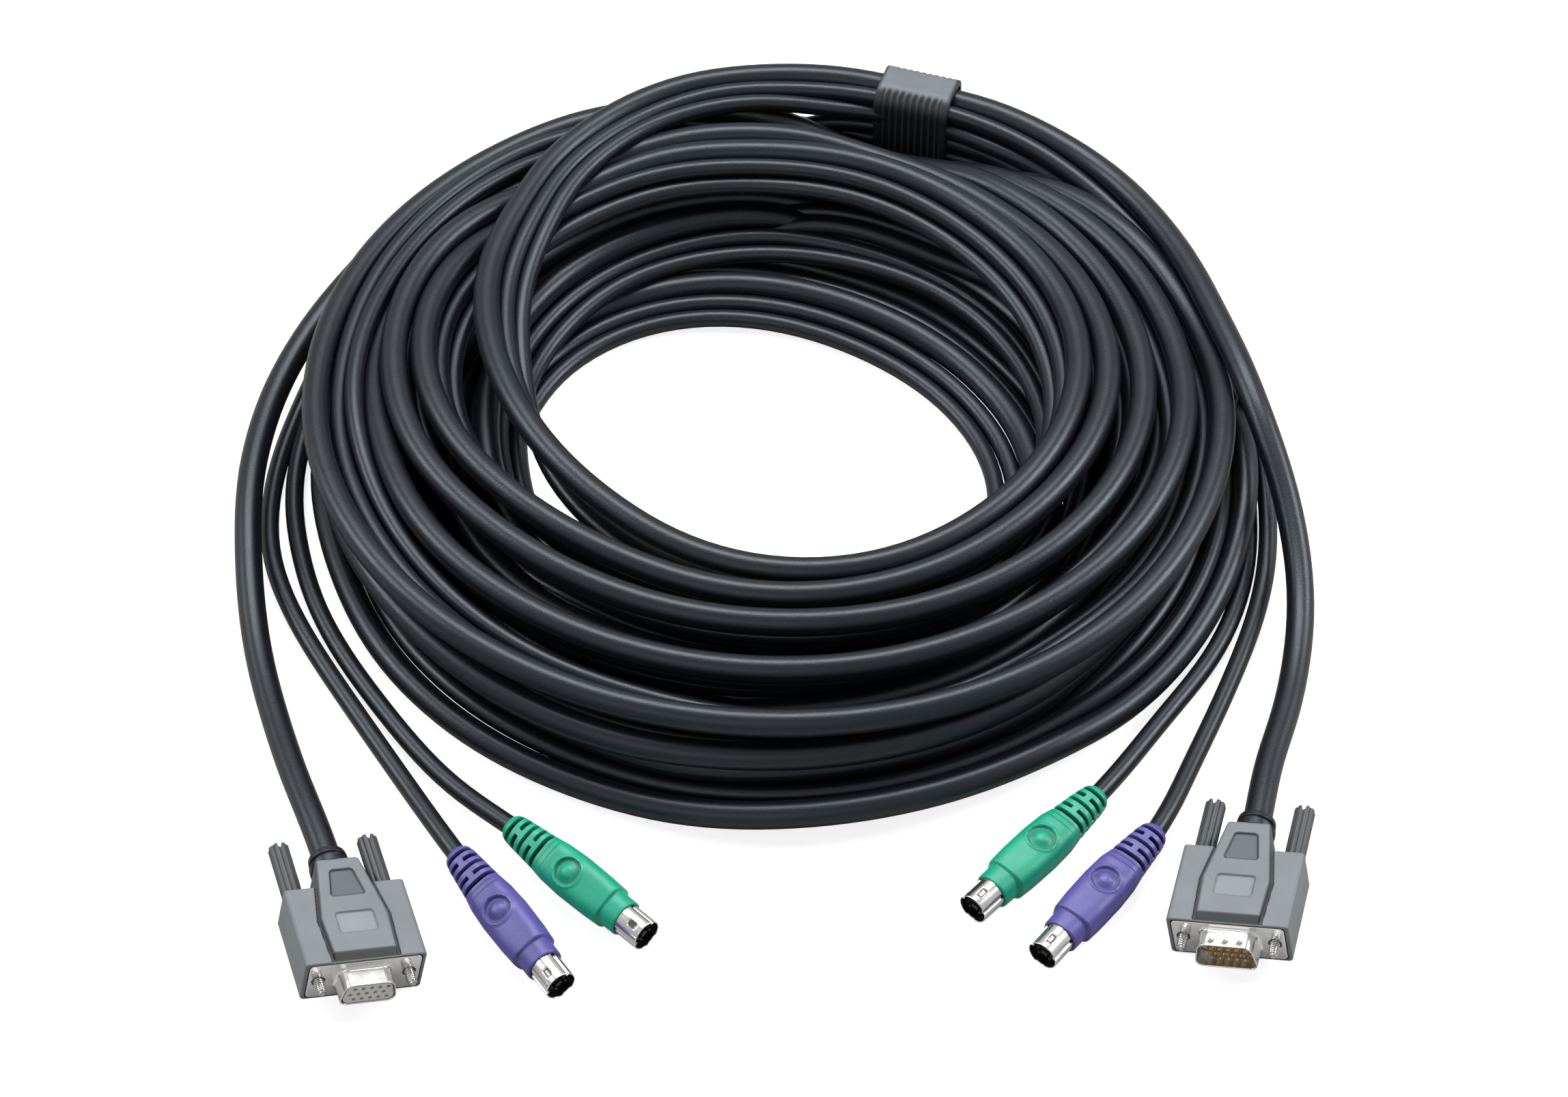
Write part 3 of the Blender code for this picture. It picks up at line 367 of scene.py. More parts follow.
            shift = shift.reshape(SLICES, passes, 3, 2).transpose(1, 0, 2, 3)
            place += shift.reshape(-1, 3, 2)[: LAST + 1]
            place[..., 1] = np.clip(place[..., 1], radii + 0.05, ceiling - radii)
            rise = risen(place[..., 1])
            in_sight = SLOPE_TOP - (place[..., 0] - SLOPE_OUT) + away - 1.46 * radii
            place[..., 1] = np.maximum(np.minimum(place[..., 1], in_sight), radii + 0.05)
            bore = low + (top - low) * rise - 1.5
            place[..., 0] = np.clip(place[..., 0], bore + radii, outside - radii)
    place = np.where(held[..., None], fixed, place)
    return angle, place


def tube(path, radius, sides):
    """A round tube: at each point of the path, a circle in the plane of the sideways
    direction and the upward one, both square to the path."""
    ahead = np.gradient(path, axis=0)
    ahead /= np.linalg.norm(ahead, axis=1, keepdims=True)
    side = np.cross(ahead, [0, 0, 1])
    side /= np.linalg.norm(side, axis=1, keepdims=True)
    up = np.cross(side, ahead)
    around_it = np.linspace(0, 2 * math.pi, sides, endpoint=False)
    wide = np.cos(around_it)[None, :, None] * side[:, None]
    tall = np.sin(around_it)[None, :, None] * up[:, None]
    return path[:, None] + radius * (wide + tall)


def skinned(name, grids, surface, body="cable", tones=(), closed=False):
    """One smooth mesh from rings of points: quads between the rings and a flat face at
    each end of a grid, or the last ring joined to the first. The faces are turned outwards
    where the volume under them, the sum of their triangles' triple products, is negative.
    A tone for each point paints shade on its surface there (above 0) or a highlight (below 0)."""
    corners, faces = [], []
    start = 0
    for grid in grids:
        rows, count = grid.shape[:2]
        points = grid.reshape(-1, 3) - grid.mean((0, 1))
        number = np.arange(rows * count).reshape(rows, count)
        beside = np.roll(number, -1, axis=1)
        ahead, ahead_beside = np.roll(number, -1, axis=0), np.roll(beside, -1, axis=0)
        quads = np.stack([number, beside, ahead_beside, ahead], -1)
        quads = (quads if closed else quads[:-1]).reshape(-1, 4)
        a, b, c, d = (points[quads[:, k]] for k in range(4))
        volume = (np.cross(b, c) * a).sum() + (np.cross(c, d) * a).sum()
        found = quads.tolist()
        if not closed:
            for ring in (number[0, ::-1], number[-1]):
                here = points[ring]
                fan = np.cross(here[1:-1], here[2:]) * here[0]
                volume += fan.sum()
                found.append(ring.tolist())
        if volume < 0:
            found = [face[::-1] for face in found]
        faces += [[start + k for k in face] for face in found]
        corners.append(grid.reshape(-1, 3))
        start += rows * count
    mesh = bpy.data.meshes.new(name)
    mesh.from_pydata(np.concatenate(corners), [], faces)
    made = placed(name, mesh)
    mesh.shade_smooth()
    mesh.set_sharp_from_angle(angle=math.radians(55))
    if len(tones):
        layer = mesh.attributes.new("tone", "FLOAT", "POINT")
        layer.data.foreach_set("value", np.concatenate([t.ravel() for t in tones]))
    mesh.materials.append(surface)
    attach(made, body)
    return made


def calculate(tree, operation, *values, clamp=False):
    """A Math node whose inputs are sockets or numbers."""
    made = tree.nodes.new("ShaderNodeMath")
    made.operation = operation
    made.use_clamp = clamp
    for socket, value in zip(made.inputs, values):
        if isinstance(value, (int, float)):
            socket.default_value = value
        else:
            tree.links.new(value, socket)
    return made.outputs[0]


def blended(tree, factor, low, high):
    """Two colours mixed by a factor: sockets or plain colours."""
    made = tree.nodes.new("ShaderNodeMix")
    made.data_type = "RGBA"
    tree.links.new(factor, made.inputs[0])
    for socket, value in ((made.inputs[6], low), (made.inputs[7], high)):
        if isinstance(value, tuple):
            socket.default_value = (*value, 1.0)
        else:
            tree.links.new(value, socket)
    return made.outputs[2]


def spotted(tree, place, size, detail, roughness=0.5):
    """Noise whose spots are about the given size in metres."""
    made = tree.nodes.new("ShaderNodeTexNoise")
    made.inputs["Scale"].default_value = 1 / size
    made.inputs["Detail"].default_value = detail
    made.inputs["Roughness"].default_value = roughness
    tree.links.new(place, made.inputs["Vector"])
    return made.outputs["Fac"]


def dust_and_painted_shade_group():
    """Shader group for everything moulded or plated: a cloudy tint, painted shade in hollows and
    painted highlights on raised places by the piece's own tone, faint dust, uneven gloss, and a
    fine grain whose spots are as large as the input says."""
    tree = bpy.data.node_groups.new("handled surface", "ShaderNodeTree")
    for way, kind, labels in (
        ("INPUT", "Color", ("Colour", "Hollow", "Raised")),
        ("INPUT", "Float", ("Dust", "Gloss", "Unevenness", "Grain size")),
        ("OUTPUT", "Color", ("Colour",)), ("OUTPUT", "Float", ("Roughness", "Height")),
    ):
        for label in labels:
            tree.interface.new_socket(label, in_out=way, socket_type="NodeSocket" + kind)
    given, out = tree.nodes.new("NodeGroupInput"), tree.nodes.new("NodeGroupOutput")
    place = tree.nodes.new("ShaderNodeTexCoord").outputs["Object"]
    cloud = spotted(tree, place, 0.012, 4.0)
    speck = spotted(tree, place, 0.0009, 3.0, 0.65)
    # The piece's tone attribute mixes in painted shade above 0 and a painted highlight below 0.
    tone = tree.nodes.new("ShaderNodeAttribute")
    tone.attribute_name = "tone"
    painted_shade_share = calculate(tree, "MAXIMUM", tone.outputs["Fac"], 0.0)
    painted_highlight_share = calculate(tree, "MULTIPLY", tone.outputs["Fac"], -1.0, clamp=True)
    colour = blended(tree, painted_highlight_share, given.outputs["Colour"], given.outputs["Raised"])
    colour = blended(tree, calculate(tree, "MINIMUM", painted_shade_share, 1.0), colour, given.outputs["Hollow"])
    shade = calculate(tree, "MULTIPLY_ADD", cloud, 0.36, 0.82)
    tint = tree.nodes.new("ShaderNodeVectorMath")
    tint.operation = "SCALE"
    tree.links.new(colour, tint.inputs[0])
    tree.links.new(shade, tint.inputs["Scale"])
    dust = calculate(tree, "MULTIPLY_ADD", speck, 5.0, -3.1, clamp=True)
    dust = calculate(tree, "MULTIPLY", dust, given.outputs["Dust"])
    tree.links.new(blended(tree, dust, tint.outputs[0], (0.55, 0.56, 0.57)), out.inputs["Colour"])
    swing = calculate(tree, "SUBTRACT", spotted(tree, place, 0.005, 3.0), 0.5)
    swing = calculate(tree, "MULTIPLY", swing, given.outputs["Unevenness"])
    swing = calculate(tree, "ADD", swing, given.outputs["Gloss"])
    swing = calculate(tree, "MULTIPLY_ADD", dust, 0.5, swing, clamp=True)
    tree.links.new(swing, out.inputs["Roughness"])
    grain = tree.nodes.new("ShaderNodeTexNoise")
    grain.inputs["Detail"].default_value = 1.5
    tree.links.new(place, grain.inputs["Vector"])
    scale = calculate(tree, "DIVIDE", 1.0, given.outputs["Grain size"])
    tree.links.new(scale, grain.inputs["Scale"])
    tree.links.new(grain.outputs["Fac"], out.inputs["Height"])
    return tree


dust_and_painted_shade = dust_and_painted_shade_group()


def finished(name, colour, painted_shade_colour, painted_highlight_colour, gloss, grain, depth, dust, uneven=0.12, metallic=0.0):
    """A material of the shared surface: its own colour, the colours of its painted shade and
    painted highlight, gloss, and grain size and depth.
    """
    made = bpy.data.materials.new(name)
    made.use_nodes = True
    tree = made.node_tree
    shader = tree.nodes["Principled BSDF"]
    shader.inputs["Metallic"].default_value = metallic
    effect = tree.nodes.new("ShaderNodeGroup")
    effect.node_tree = dust_and_painted_shade
    for label, value in (("Colour", colour), ("Hollow", painted_shade_colour), ("Raised", painted_highlight_colour)):
        effect.inputs[label].default_value = (*value, 1.0)
    plain = (("Dust", dust), ("Gloss", gloss), ("Unevenness", uneven), ("Grain size", grain))
    for label, value in plain:
        effect.inputs[label].default_value = value
    tree.links.new(effect.outputs["Colour"], shader.inputs["Base Color"])
    tree.links.new(effect.outputs["Roughness"], shader.inputs["Roughness"])
    bump = tree.nodes.new("ShaderNodeBump")
    bump.inputs["Distance"].default_value = depth
    tree.links.new(effect.outputs["Height"], bump.inputs["Height"])
    tree.links.new(bump.outputs["Normal"], shader.inputs["Normal"])
    return made


jacket = finished(
    "jacket", (0.0055, 0.0068, 0.0100), (0.002, 0.002, 0.003), (0.05, 0.055, 0.06),
    gloss=0.37, grain=0.0006, depth=0.00004, dust=0.012, uneven=0.10,
)
gleam = jacket.node_tree.nodes["Principled BSDF"].inputs["Specular Tint"]
gleam.default_value = (0.82, 0.92, 1.0, 1.0)

angle, ribbon = wound_ribbon()
turning = np.stack([np.cos(angle), np.sin(angle)], 1)
ENTRY = 0.0010
SIDES = {"video_cord": 20, "keyboard_cord": 16, "mouse_cord": 16}
declared = {}
for c, name in enumerate(CORDS):
    wound = np.column_stack([turning * ribbon[:, c, :1], ribbon[:, c, 1]]) / 1000
    first, last, neck = ENDS[name]
    stretches = []
    for end, side in ((first, "left"), (last, "right")):
        matrix = plug_matrix(end)
        behind = [matrix @ Vector((0, neck + SEAT_GAP + 2 * RADII[c] * k, 0)) for k in (1, 0)]
        behind.append(matrix @ Vector((0, neck - ENTRY, 0)))
        loose = smooth_line(LOOSE[f"{name}_{side}"], 0.009)
        route, _, _ = around(loose, BEGINS[side])
        edge = angle[0] if side == "left" else angle[-1] + 2 * math.pi * TURNS
        beyond = (route - edge) * (1 if side == "left" else -1) > 0.045
        stretches.append(np.vstack([loose[beyond], np.array(behind) - COIL_CENTRE]))
    path = np.vstack([stretches[0][::-1], wound, stretches[1]]) + COIL_CENTRE
    path = smooth_line(path, 0.005)
    for _ in range(9):
        path[1:-1] += 0.25 * (path[:-2] + path[2:] - 2 * path[1:-1])
    path[:, 2] = np.maximum(path[:, 2], RADII[c])
    cord = skinned(name, [tube(path, RADII[c], SIDES[name])], jacket)
    nodes = [f"{name}_left", f"{name}_right"] + (["cable_coil"] if c == 0 else [])
    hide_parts(*nodes)
    declared[name] = (cord, path)


# The strap: a wide black rubber band pushed over the outer turns at the back. It is
# moulded, smooth on top and along both rims, and ribbed the way it wraps on its sides.
STRAP_HALF, STRAP_WALL, STRAP_BEND, STRAP_SHOULDER = 12.0, 1.8, 2.5, 4.4
STRAP_MIDDLE, STRAP_ROOM = (138.8, 19.8), (7.0, 18.0)
RIB_PITCH, RIB_RISE, RIB_SPAN = 2.15, 0.34, 9.9


def box_outline(across, upright, bend):
    """Points anticlockwise round a box with round corners, from its right side: the share
    of the half width and of the half height of each, and the direction that its corner arc
    adds, which stays the same along a side and sweeps a quarter turn at a corner."""
    shares = []
    for k, count in enumerate((upright, across, upright, across)):
        c, s = round(math.cos(k * math.pi / 2)), round(math.sin(k * math.pi / 2))
        t = np.linspace(-1, 1, count)
        shares.append(np.stack([c - s * t, s + c * t, np.full(count, k * math.pi / 2)]))
        sweep = (k + np.linspace(0, 1, bend + 2)[1:-1]) * math.pi / 2
        shares.append(np.stack([np.full(bend, c - s), np.full(bend, s + c), sweep]))
    return np.concatenate(shares, axis=1)


def boxes(outline, half_wide, half_high, corner, depth):
    """Rings of the outline, one for each row of the sizes: each point is its share of the
    straight half side plus the corner's radius in the point's own direction."""
    sizes = np.broadcast_arrays(half_wide, half_high, corner, depth)
    wide, high, corner, depth = (np.asarray(v, float).reshape(-1, 1) for v in sizes)
    across = outline[0] * (wide - corner) + corner * np.cos(outline[2])
    up = outline[1] * (high - corner) + corner * np.sin(outline[2])
    return np.stack([across, depth + 0 * across, up], -1)


def eased(x):
    """0 below 0, 1 above 1, and a smooth cubic between."""
    x = np.clip(x, 0, 1)
    return x * x * (3 - 2 * x)


def ribbed_strap():
    """The band's section, closed round its thickness, carried round the box that it holds:
    each point lies on the box's outline grown by the section's height at that width."""
    outline = box_outline(36, 80, 10)
    wide = np.linspace(-STRAP_HALF + 0.4, STRAP_HALF - 0.4, 120)
    bend = np.linspace(0, math.pi / 2, 6)[1:]
    rim = np.stack([STRAP_HALF - 0.4 + 0.4 * np.sin(bend), STRAP_WALL - 0.4 + 0.4 * np.cos(bend)])
    across = np.concatenate([wide, rim[0], [STRAP_HALF, -STRAP_HALF], -rim[0, ::-1]])
    grown = np.concatenate([np.full(wide.size, STRAP_WALL), rim[1], [0.05, 0.05], rim[1, ::-1]])
    outer = np.concatenate([np.ones(wide.size), np.zeros(across.size - wide.size)])
    ribs = 0.5 + 0.5 * np.cos(2 * math.pi * across / RIB_PITCH)
    ribs = (ribs**1.5 - 0.75) * eased((RIB_SPAN - np.abs(across)) / 0.6)
    turned = np.degrees(outline[2]) % 360
    reach = np.where(turned < 90, eased((82 - turned) / 25), eased((turned - 98) / 25))
    reach = np.where(turned > 180, eased((205 - turned) / 20), reach)
    ribs = outer[:, None] * ribs[:, None] * reach
    cap = eased((np.sin(outline[2]) - 0.8) / 0.2) * outer[:, None]
    cap = cap * eased((STRAP_HALF - np.abs(across)) / 1.5)[:, None]
    height = grown[:, None] + RIB_RISE * ribs + 0.3 * cap
    bend = STRAP_BEND + (STRAP_SHOULDER - STRAP_BEND) * (1 - outline[0]) * (1 + outline[1]) / 4
    corner = bend + height
    out = outline[0] * (STRAP_ROOM[0] - bend) + corner * np.cos(outline[2])
    up = outline[1] * (STRAP_ROOM[1] - bend) + corner * np.sin(outline[2])
    out, up = out + STRAP_MIDDLE[0], np.maximum(up + STRAP_MIDDLE[1], 0)
    c, s = math.cos(STRAP_ANGLE), math.sin(STRAP_ANGLE)
    along = across[:, None] + 0 * out
    place = np.stack([c * out - s * along, s * out + c * along, up], -1) / 1000
    # Painted shade in the valleys between the ribs, painted highlights on their crests, and a
    # painted sheen on the smooth top.
    tone = np.where(ribs < 0, -1.3 * ribs, -0.6 * ribs)
    return place + COIL_CENTRE, np.clip(tone - 0.9 * cap, -1, 1)


strap_rubber = finished(
    "strap_rubber", (0.013, 0.016, 0.021), (0.004, 0.005, 0.007), (0.15, 0.175, 0.195),
    gloss=0.5, grain=0.0005, depth=0.00005, dust=0.03,
)
grid, tone = ribbed_strap()
strap = skinned("strap", [grid], strap_rubber, tones=[tone], closed=True)
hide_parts("coil_strap")


# The video connectors' hoods: grey vinyl moulded round the cord and the connector in one
# shot. Each has two wings, and a raised tapering middle with a finger recess and a label
# recess, which is left bare, and a black ringed relief where the cord comes out.
HOOD_HALF, HOOD_TALL, HOOD_LONG, HOOD_EDGE = 16.7, 7.1, 26.6, 0.5
SEAT = (15.7, 6.55, 0.8)
PANEL = np.array((
    (0.4, 8.7, 6.4), (2.7, 8.7, 8.3), (14.8, 9.3, 8.3), (34.5, 6.03, 8.3), (35.7, 5.8, 7.1),
    (36.8, 4.7, 5.5),
))
CHANNEL_WIDE, CHANNEL_DEEP = 0.75, 0.5
# Each recess: front and back (mm), half widths there (mm), and its tone: painted shade on the
# finger recess's floor, and the label recess's floor drawn lighter.
RECESSES = (((21.8, 31.0), (4.84, 3.19), 0.55), ((9.0, 16.0), (5.2, 5.2), -0.5))
RECESS_DEEP = 0.5
RELIEF = np.array((
    (33.0, 4.8), (36.6, 4.9), (37.1, 5.75), (39.2, 5.75), (39.5, 4.9), (40.1, 4.9),
    (40.4, 5.5), (42.1, 5.3), (42.6, 4.7),
))


def set_in(plug, points):
    """Points in millimetres in a plug's own frame, turned, leaned and moved with it."""
    matrix = np.array(plug_matrix(plug))
    return points / 1000 @ matrix[:3, :3].T + matrix[:3, 3]


def softened(stations, places, reach):
    """The stations' columns at each place, joined by straight lines whose kinks are
    rounded: the mean over a short window around the place."""
    window = np.linspace(-reach, reach, 9)
    at = places[:, None] + window
    return [np.interp(at, stations[:, 0], column).mean(1) for column in stations.T[1:]]


def rounded_edge(inset, count):
    """Steps round a quarter circle: how far back from the face, and how far in from the side."""
    sweep = np.linspace(0, math.pi / 2, count)
    return inset * (1 - np.sin(sweep)), inset * (1 - np.cos(sweep))


def hood_wings():
    """A box with rounded edges whose front is sunk for the flange, and whose top has a
    narrow channel along each side of the raised middle."""
    back, side = rounded_edge(HOOD_EDGE, 6)
    along = np.arange(HOOD_EDGE + 0.3, HOOD_LONG - HOOD_EDGE, 0.3)
    depth = np.concatenate([[SEAT[2], 0.02], back[::-1], along, HOOD_LONG - back])
    inset = np.concatenate([[0, 0], side[::-1], 0 * along, side])
    wide, high = HOOD_HALF - inset, HOOD_TALL - inset
    wide[:2], high[:2] = SEAT[:2]
    outline = box_outline(134, 14, 5)
    rings = boxes(outline, wide, high, np.maximum(1.2 - inset, 0.4), depth)
    beyond = np.abs(rings[..., 0]) - np.interp(rings[..., 1], PANEL[:, 0], PANEL[:, 1])
    top = (outline[1] > 0.999) & (np.abs(outline[2] - math.pi / 2) < 1e-6)
    channel = top * eased((CHANNEL_WIDE + 0.25 - beyond) / 0.25) * eased(rings[..., 1] / 0.8)
    channel[:2] = 0
    rings[..., 2] -= CHANNEL_DEEP * channel
    # Painted shade in the channels and on the front ring sunk for the flange.
    tone = channel.copy()
    tone[0] = 1
    return rings, tone


def hood_middle():
    """The raised middle, swept from the front slope to the narrow end; two recesses are
    pressed into its top, each by the distance from its own rounded outline."""
    depth = np.concatenate([np.arange(0.4, 36.8, 0.22), [36.8]])
    wide, high = softened(PANEL, depth, 0.35)
    outline = box_outline(96, 10, 5)
    rings = boxes(outline, wide, high, 0.9, depth)
    across, along = rings[..., 0], rings[..., 1]
    top = np.abs(outline[2] - math.pi / 2) < 1e-6
    tone = np.zeros(across.shape)
    for (front, back), halves, fill in RECESSES:
        half = np.interp(along, (front, back), halves)
        beyond = np.abs(across) - half + 1.0
        past = np.abs(along - (front + back) / 2) - (back - front) / 2 + 1.0
        away = np.hypot(np.maximum(beyond, 0), np.maximum(past, 0))
        away += np.minimum(np.maximum(beyond, past), 0) - 1.0
        inside = top * eased(0.5 - away / 0.34)
        rings[..., 2] -= RECESS_DEEP * inside
        edge = np.exp(-((away + 0.1) / 0.3) ** 2) * top
        # Painted shade on the finger recess's floor, the label recess's floor drawn lighter, and a
        # painted shade line round each recess's edge, fainter inside the label recess.
        tone += fill * inside + (0.75 - 0.5 * inside * (fill < 0)) * edge
    # Painted shade on the front slope and on the side walls of the raised middle.
    slope = eased((2.9 - along) / 0.5)
    sides = np.abs(np.cos(outline[2])) > 0.7
    return rings, np.clip(tone + 0.7 * slope + 0.6 * sides, -1, 1)


def lathed(stations, spacing, reach, sides):
    """Circles round the plug's own axis, whose radius follows the stations."""
    depth = np.append(np.arange(stations[0, 0], stations[-1, 0], spacing), stations[-1, 0])
    radius = softened(stations, depth, reach)[0]
    angle = np.linspace(0, 2 * math.pi, sides, endpoint=False)
    circle = np.stack([np.cos(angle), 0 * angle, np.sin(angle)], -1)
    rings = radius[:, None, None] * circle
    rings[..., 1] += depth[:, None]
    return rings


hood_grey = finished(
    "hood_grey", (0.185, 0.208, 0.226), (0.022, 0.026, 0.030), (0.29, 0.32, 0.34),
    gloss=0.5, grain=0.00035, depth=0.00006, dust=0.05,
)
for plug in ("video_socket", "video_plug"):
    wings, wing_tone = hood_wings()
    middle, middle_tone = hood_middle()
    hood = skinned(
        f"{plug}_moulding", [set_in(plug, wings), set_in(plug, middle)], hood_grey,
        tones=[wing_tone, middle_tone],
    )
    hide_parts(f"{plug}_hood")
    relief = lathed(RELIEF, 0.12, 0.12, 48)
    relief = skinned(f"{plug}_relief", [set_in(plug, relief)], jacket)


# The connectors' metal: a flange and a D-shaped shell drawn from one sheet of steel and
# plated with bright nickel. The plug's shell has three dimples that grip the socket.
FLANGE = (15.4, 6.25, 1.2, 0.8)
SHELLS = {"video_socket": (16.3, 7.9), "video_plug": (17.8, 9.2)}
SHELL_LONG, SHELL_WALL, SHELL_CORNER, SHELL_LEAN = 6.0, 0.45, 2.5, math.tan(math.radians(10))
FLARE, SCREW_APART, BORE = 0.9, 12.495, 1.8
DIMPLES = (-3.9, 0.0, 3.9)


def shell_and_flange(width, height, dimpled):
    """Rings from the flange's back edge, over its face to the foot of the shell, along the
    shell, round its lip and back inside. The D shape is a box whose points move sideways
    in step with their height; on the face the rings go evenly from box to D."""
    outline = box_outline(80, 40, 7)
    lean = height / 2 * SHELL_LEAN

    def d_shape(grow, depth):
        wide, high = width / 2 - lean + grow, height / 2 + grow
        rings = boxes(outline, wide, high, SHELL_CORNER + grow, depth)
        rings[..., 0] *= 1 - rings[..., 2] * SHELL_LEAN / np.reshape(wide, (-1, 1))
        return rings

    wide, high, corner, thick = FLANGE
    edge = boxes(
        outline, wide - np.array([0, 0, 0.04, 0.15]), high - np.array([0, 0, 0.04, 0.15]), corner,
        np.array([thick - 0.1, 0.05, -0.06, -0.1]),
    )
    share = np.linspace(0, 1, 44)[1:-1, None, None]
    face = edge[-1:] + share * (d_shape(FLARE, -0.1) - edge[-1:])
    sweep = np.linspace(0, math.pi / 2, 8)
    foot = d_shape(FLARE * (1 - np.sin(sweep)), -0.1 - FLARE * (1 - np.cos(sweep)))
    tube_wall = d_shape(0.0, -np.arange(1.25, SHELL_LONG - 0.2, 0.25))
    turn = np.linspace(0, math.pi, 8)
    half = SHELL_WALL / 2
    lip = d_shape(-half + half * np.cos(turn), -(SHELL_LONG - half) - half * np.sin(turn))
    inside = d_shape(-SHELL_WALL, -np.linspace(SHELL_LONG - 0.6, 0.0, 12))
    rings = np.concatenate([edge, face, foot, tube_wall, lip, inside])
    tone = np.zeros(rings.shape[:2])
    # Painted shade in the screw bores.
    away = np.hypot(np.abs(rings[..., 0]) - SCREW_APART, rings[..., 2])
    bore = eased((BORE + 0.1 - away) / 0.2) * (rings[..., 1] > -0.2)
    bore[:2] = 0
    rings[..., 1] += 0.65 * bore
    tone += bore
    if dimpled:
        rows = slice(4 + face.shape[0] + 8, 4 + face.shape[0] + 8 + tube_wall.shape[0])
        wall = rings[rows]
        squares = ((wall[..., 0] - x) ** 2 + (wall[..., 1] + 4.2) ** 2 for x in DIMPLES)
        dent = sum(np.exp(-(square / 0.28)) for square in squares)
        broad = np.abs(np.sin(outline[2])) > 0.9
        rings[rows, :, 2] -= 0.35 * dent * np.sin(outline[2]) * broad
        # Painted shade in the dimples.
        tone[rows] += 0.9 * dent * broad
    # Painted shade inside the shell.
    tone[-12:] += 0.12
    return rings, np.clip(tone, 0, 1)


nickel = finished(
    "nickel", (0.80, 0.79, 0.76), (0.10, 0.10, 0.10), (0.9, 0.9, 0.88),
    gloss=0.2, grain=0.0011, depth=0.000012, dust=0.03, uneven=0.16, metallic=1.0,
)
for plug, (width, height) in SHELLS.items():
    rings, tone = shell_and_flange(width, height, plug == "video_plug")
    shell = skinned(f"{plug}_metal", [set_in(plug, rings)], nickel, tones=[tone])
    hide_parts(f"{plug}_shell")


# The contact blocks: off-white nylon pressed in behind the shell, with fifteen sprung
# holes in the socket and fifteen gold-flashed pins in the plug. They keep their CAD shapes.
ivory = finished(
    "ivory", (0.78, 0.77, 0.72), (0.2, 0.19, 0.17), (0.85, 0.85, 0.8),
    gloss=0.42, grain=0.0005, depth=0.00003, dust=0.03,
)
gold = finished(
    "gold", (0.86, 0.62, 0.30), (0.3, 0.2, 0.1), (0.9, 0.7, 0.4),
    gloss=0.24, grain=0.0004, depth=0.000008, dust=0.02, metallic=1.0,
)
black_nylon = finished(
    "black_nylon", (0.022, 0.022, 0.024), (0.01, 0.01, 0.01), (0.06, 0.06, 0.06),
    gloss=0.45, grain=0.0004, depth=0.00003, dust=0.05,
)
for name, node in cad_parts.items():
    kind = next((m for part, m in (("_insert", ivory), ("_pin_", gold), ("_contacts", black_nylon))
                 if part in name), None)
    if kind:
        node.data.materials.clear()
        node.data.materials.append(kind)


# The thumbscrews: a steel screw with a rolled thread in a dark grey plastic knob, eight
# flutes long and slotted at its end for a screwdriver. Each turns freely in its hood.
SCREW_RADIUS, SCREW_FRONT, SCREW_BACK, THREAD = 1.42, -4.7, 27.4, 0.635
KNOB_FRONT, KNOB_LONG, KNOB_RADIUS, FLUTES, FLUTE_DEEP = 26.9, 20.5, 2.9, 8, 0.42
KNOB_SLOT = (0.6, 1.6)


def threaded_screw(side):
    """Circles along the screw; the radius dips by a pointed wave of the turn plus the way
    along, so the dip runs round as a helix, and the tip is a short cone."""
    depth = np.concatenate([np.arange(SCREW_FRONT, 0.8, 0.07), [0.9, SCREW_BACK]])
    angle = np.linspace(0, 2 * math.pi, 28, endpoint=False)
    phase = (depth[:, None] / THREAD + angle / (2 * math.pi)) % 1
    dip = 0.2 * np.abs(2 * phase - 1) * (depth < 0.85)[:, None]
    cone = 0.75 * np.clip((SCREW_FRONT + 0.9 - depth) / 0.9, 0, 1)[:, None]
    radius = SCREW_RADIUS - np.maximum(dip, cone)
    # The returned tone is painted shade in the thread's groove.
    return np.stack([
        side * SCREW_APART + radius * np.cos(angle), depth[:, None] + 0 * radius,
        radius * np.sin(angle),
    ], -1), dip / 0.25


def fluted_knob(side):
    """A rod whose radius dips at eight flutes, with rounded edges and flat ends; the back
    end's points inside the slot's width are pushed forwards."""
    back, side_in = rounded_edge(0.5, 6)
    along = np.arange(KNOB_FRONT + 0.8, KNOB_FRONT + KNOB_LONG - 0.6, 0.4)
    end = KNOB_FRONT + KNOB_LONG
    fine = np.arange(end - 2.2, end - 0.5, 0.15)
    along = np.concatenate([along[along < end - 2.3], fine])
    closing = np.linspace(0.5, KNOB_RADIUS - 0.02, 16)[1:]
    depth = np.concatenate([
        KNOB_FRONT + 0 * closing, KNOB_FRONT + back[::-1], along, end - back, end + 0 * closing,
    ])
    inset = np.concatenate([closing[::-1], side_in[::-1], 0 * along, side_in, closing])
    angle = np.linspace(0, 2 * math.pi, 96, endpoint=False)
    flute = (0.5 + 0.5 * np.cos(FLUTES * angle)) ** 3
    radius = KNOB_RADIUS - inset[:, None] - FLUTE_DEEP * flute * eased(3 - 2 * inset[:, None])
    radius = np.maximum(radius, 0.01)
    across, up = radius * np.cos(angle), radius * np.sin(angle)
    deep = depth[:, None] + 0 * radius
    slot = eased((KNOB_SLOT[0] + 0.08 - np.abs(across)) / 0.16)
    slot *= deep > end - KNOB_SLOT[1]
    deep = np.where(slot > 0, deep - slot * (deep - (end - KNOB_SLOT[1])), deep)
    # Painted shade in the flutes and in the slot.
    tone = np.maximum(0.45 * flute * (inset < 0.3)[:, None], 0.8 * slot)
    return np.stack([side * SCREW_APART + across, deep, up], -1), tone


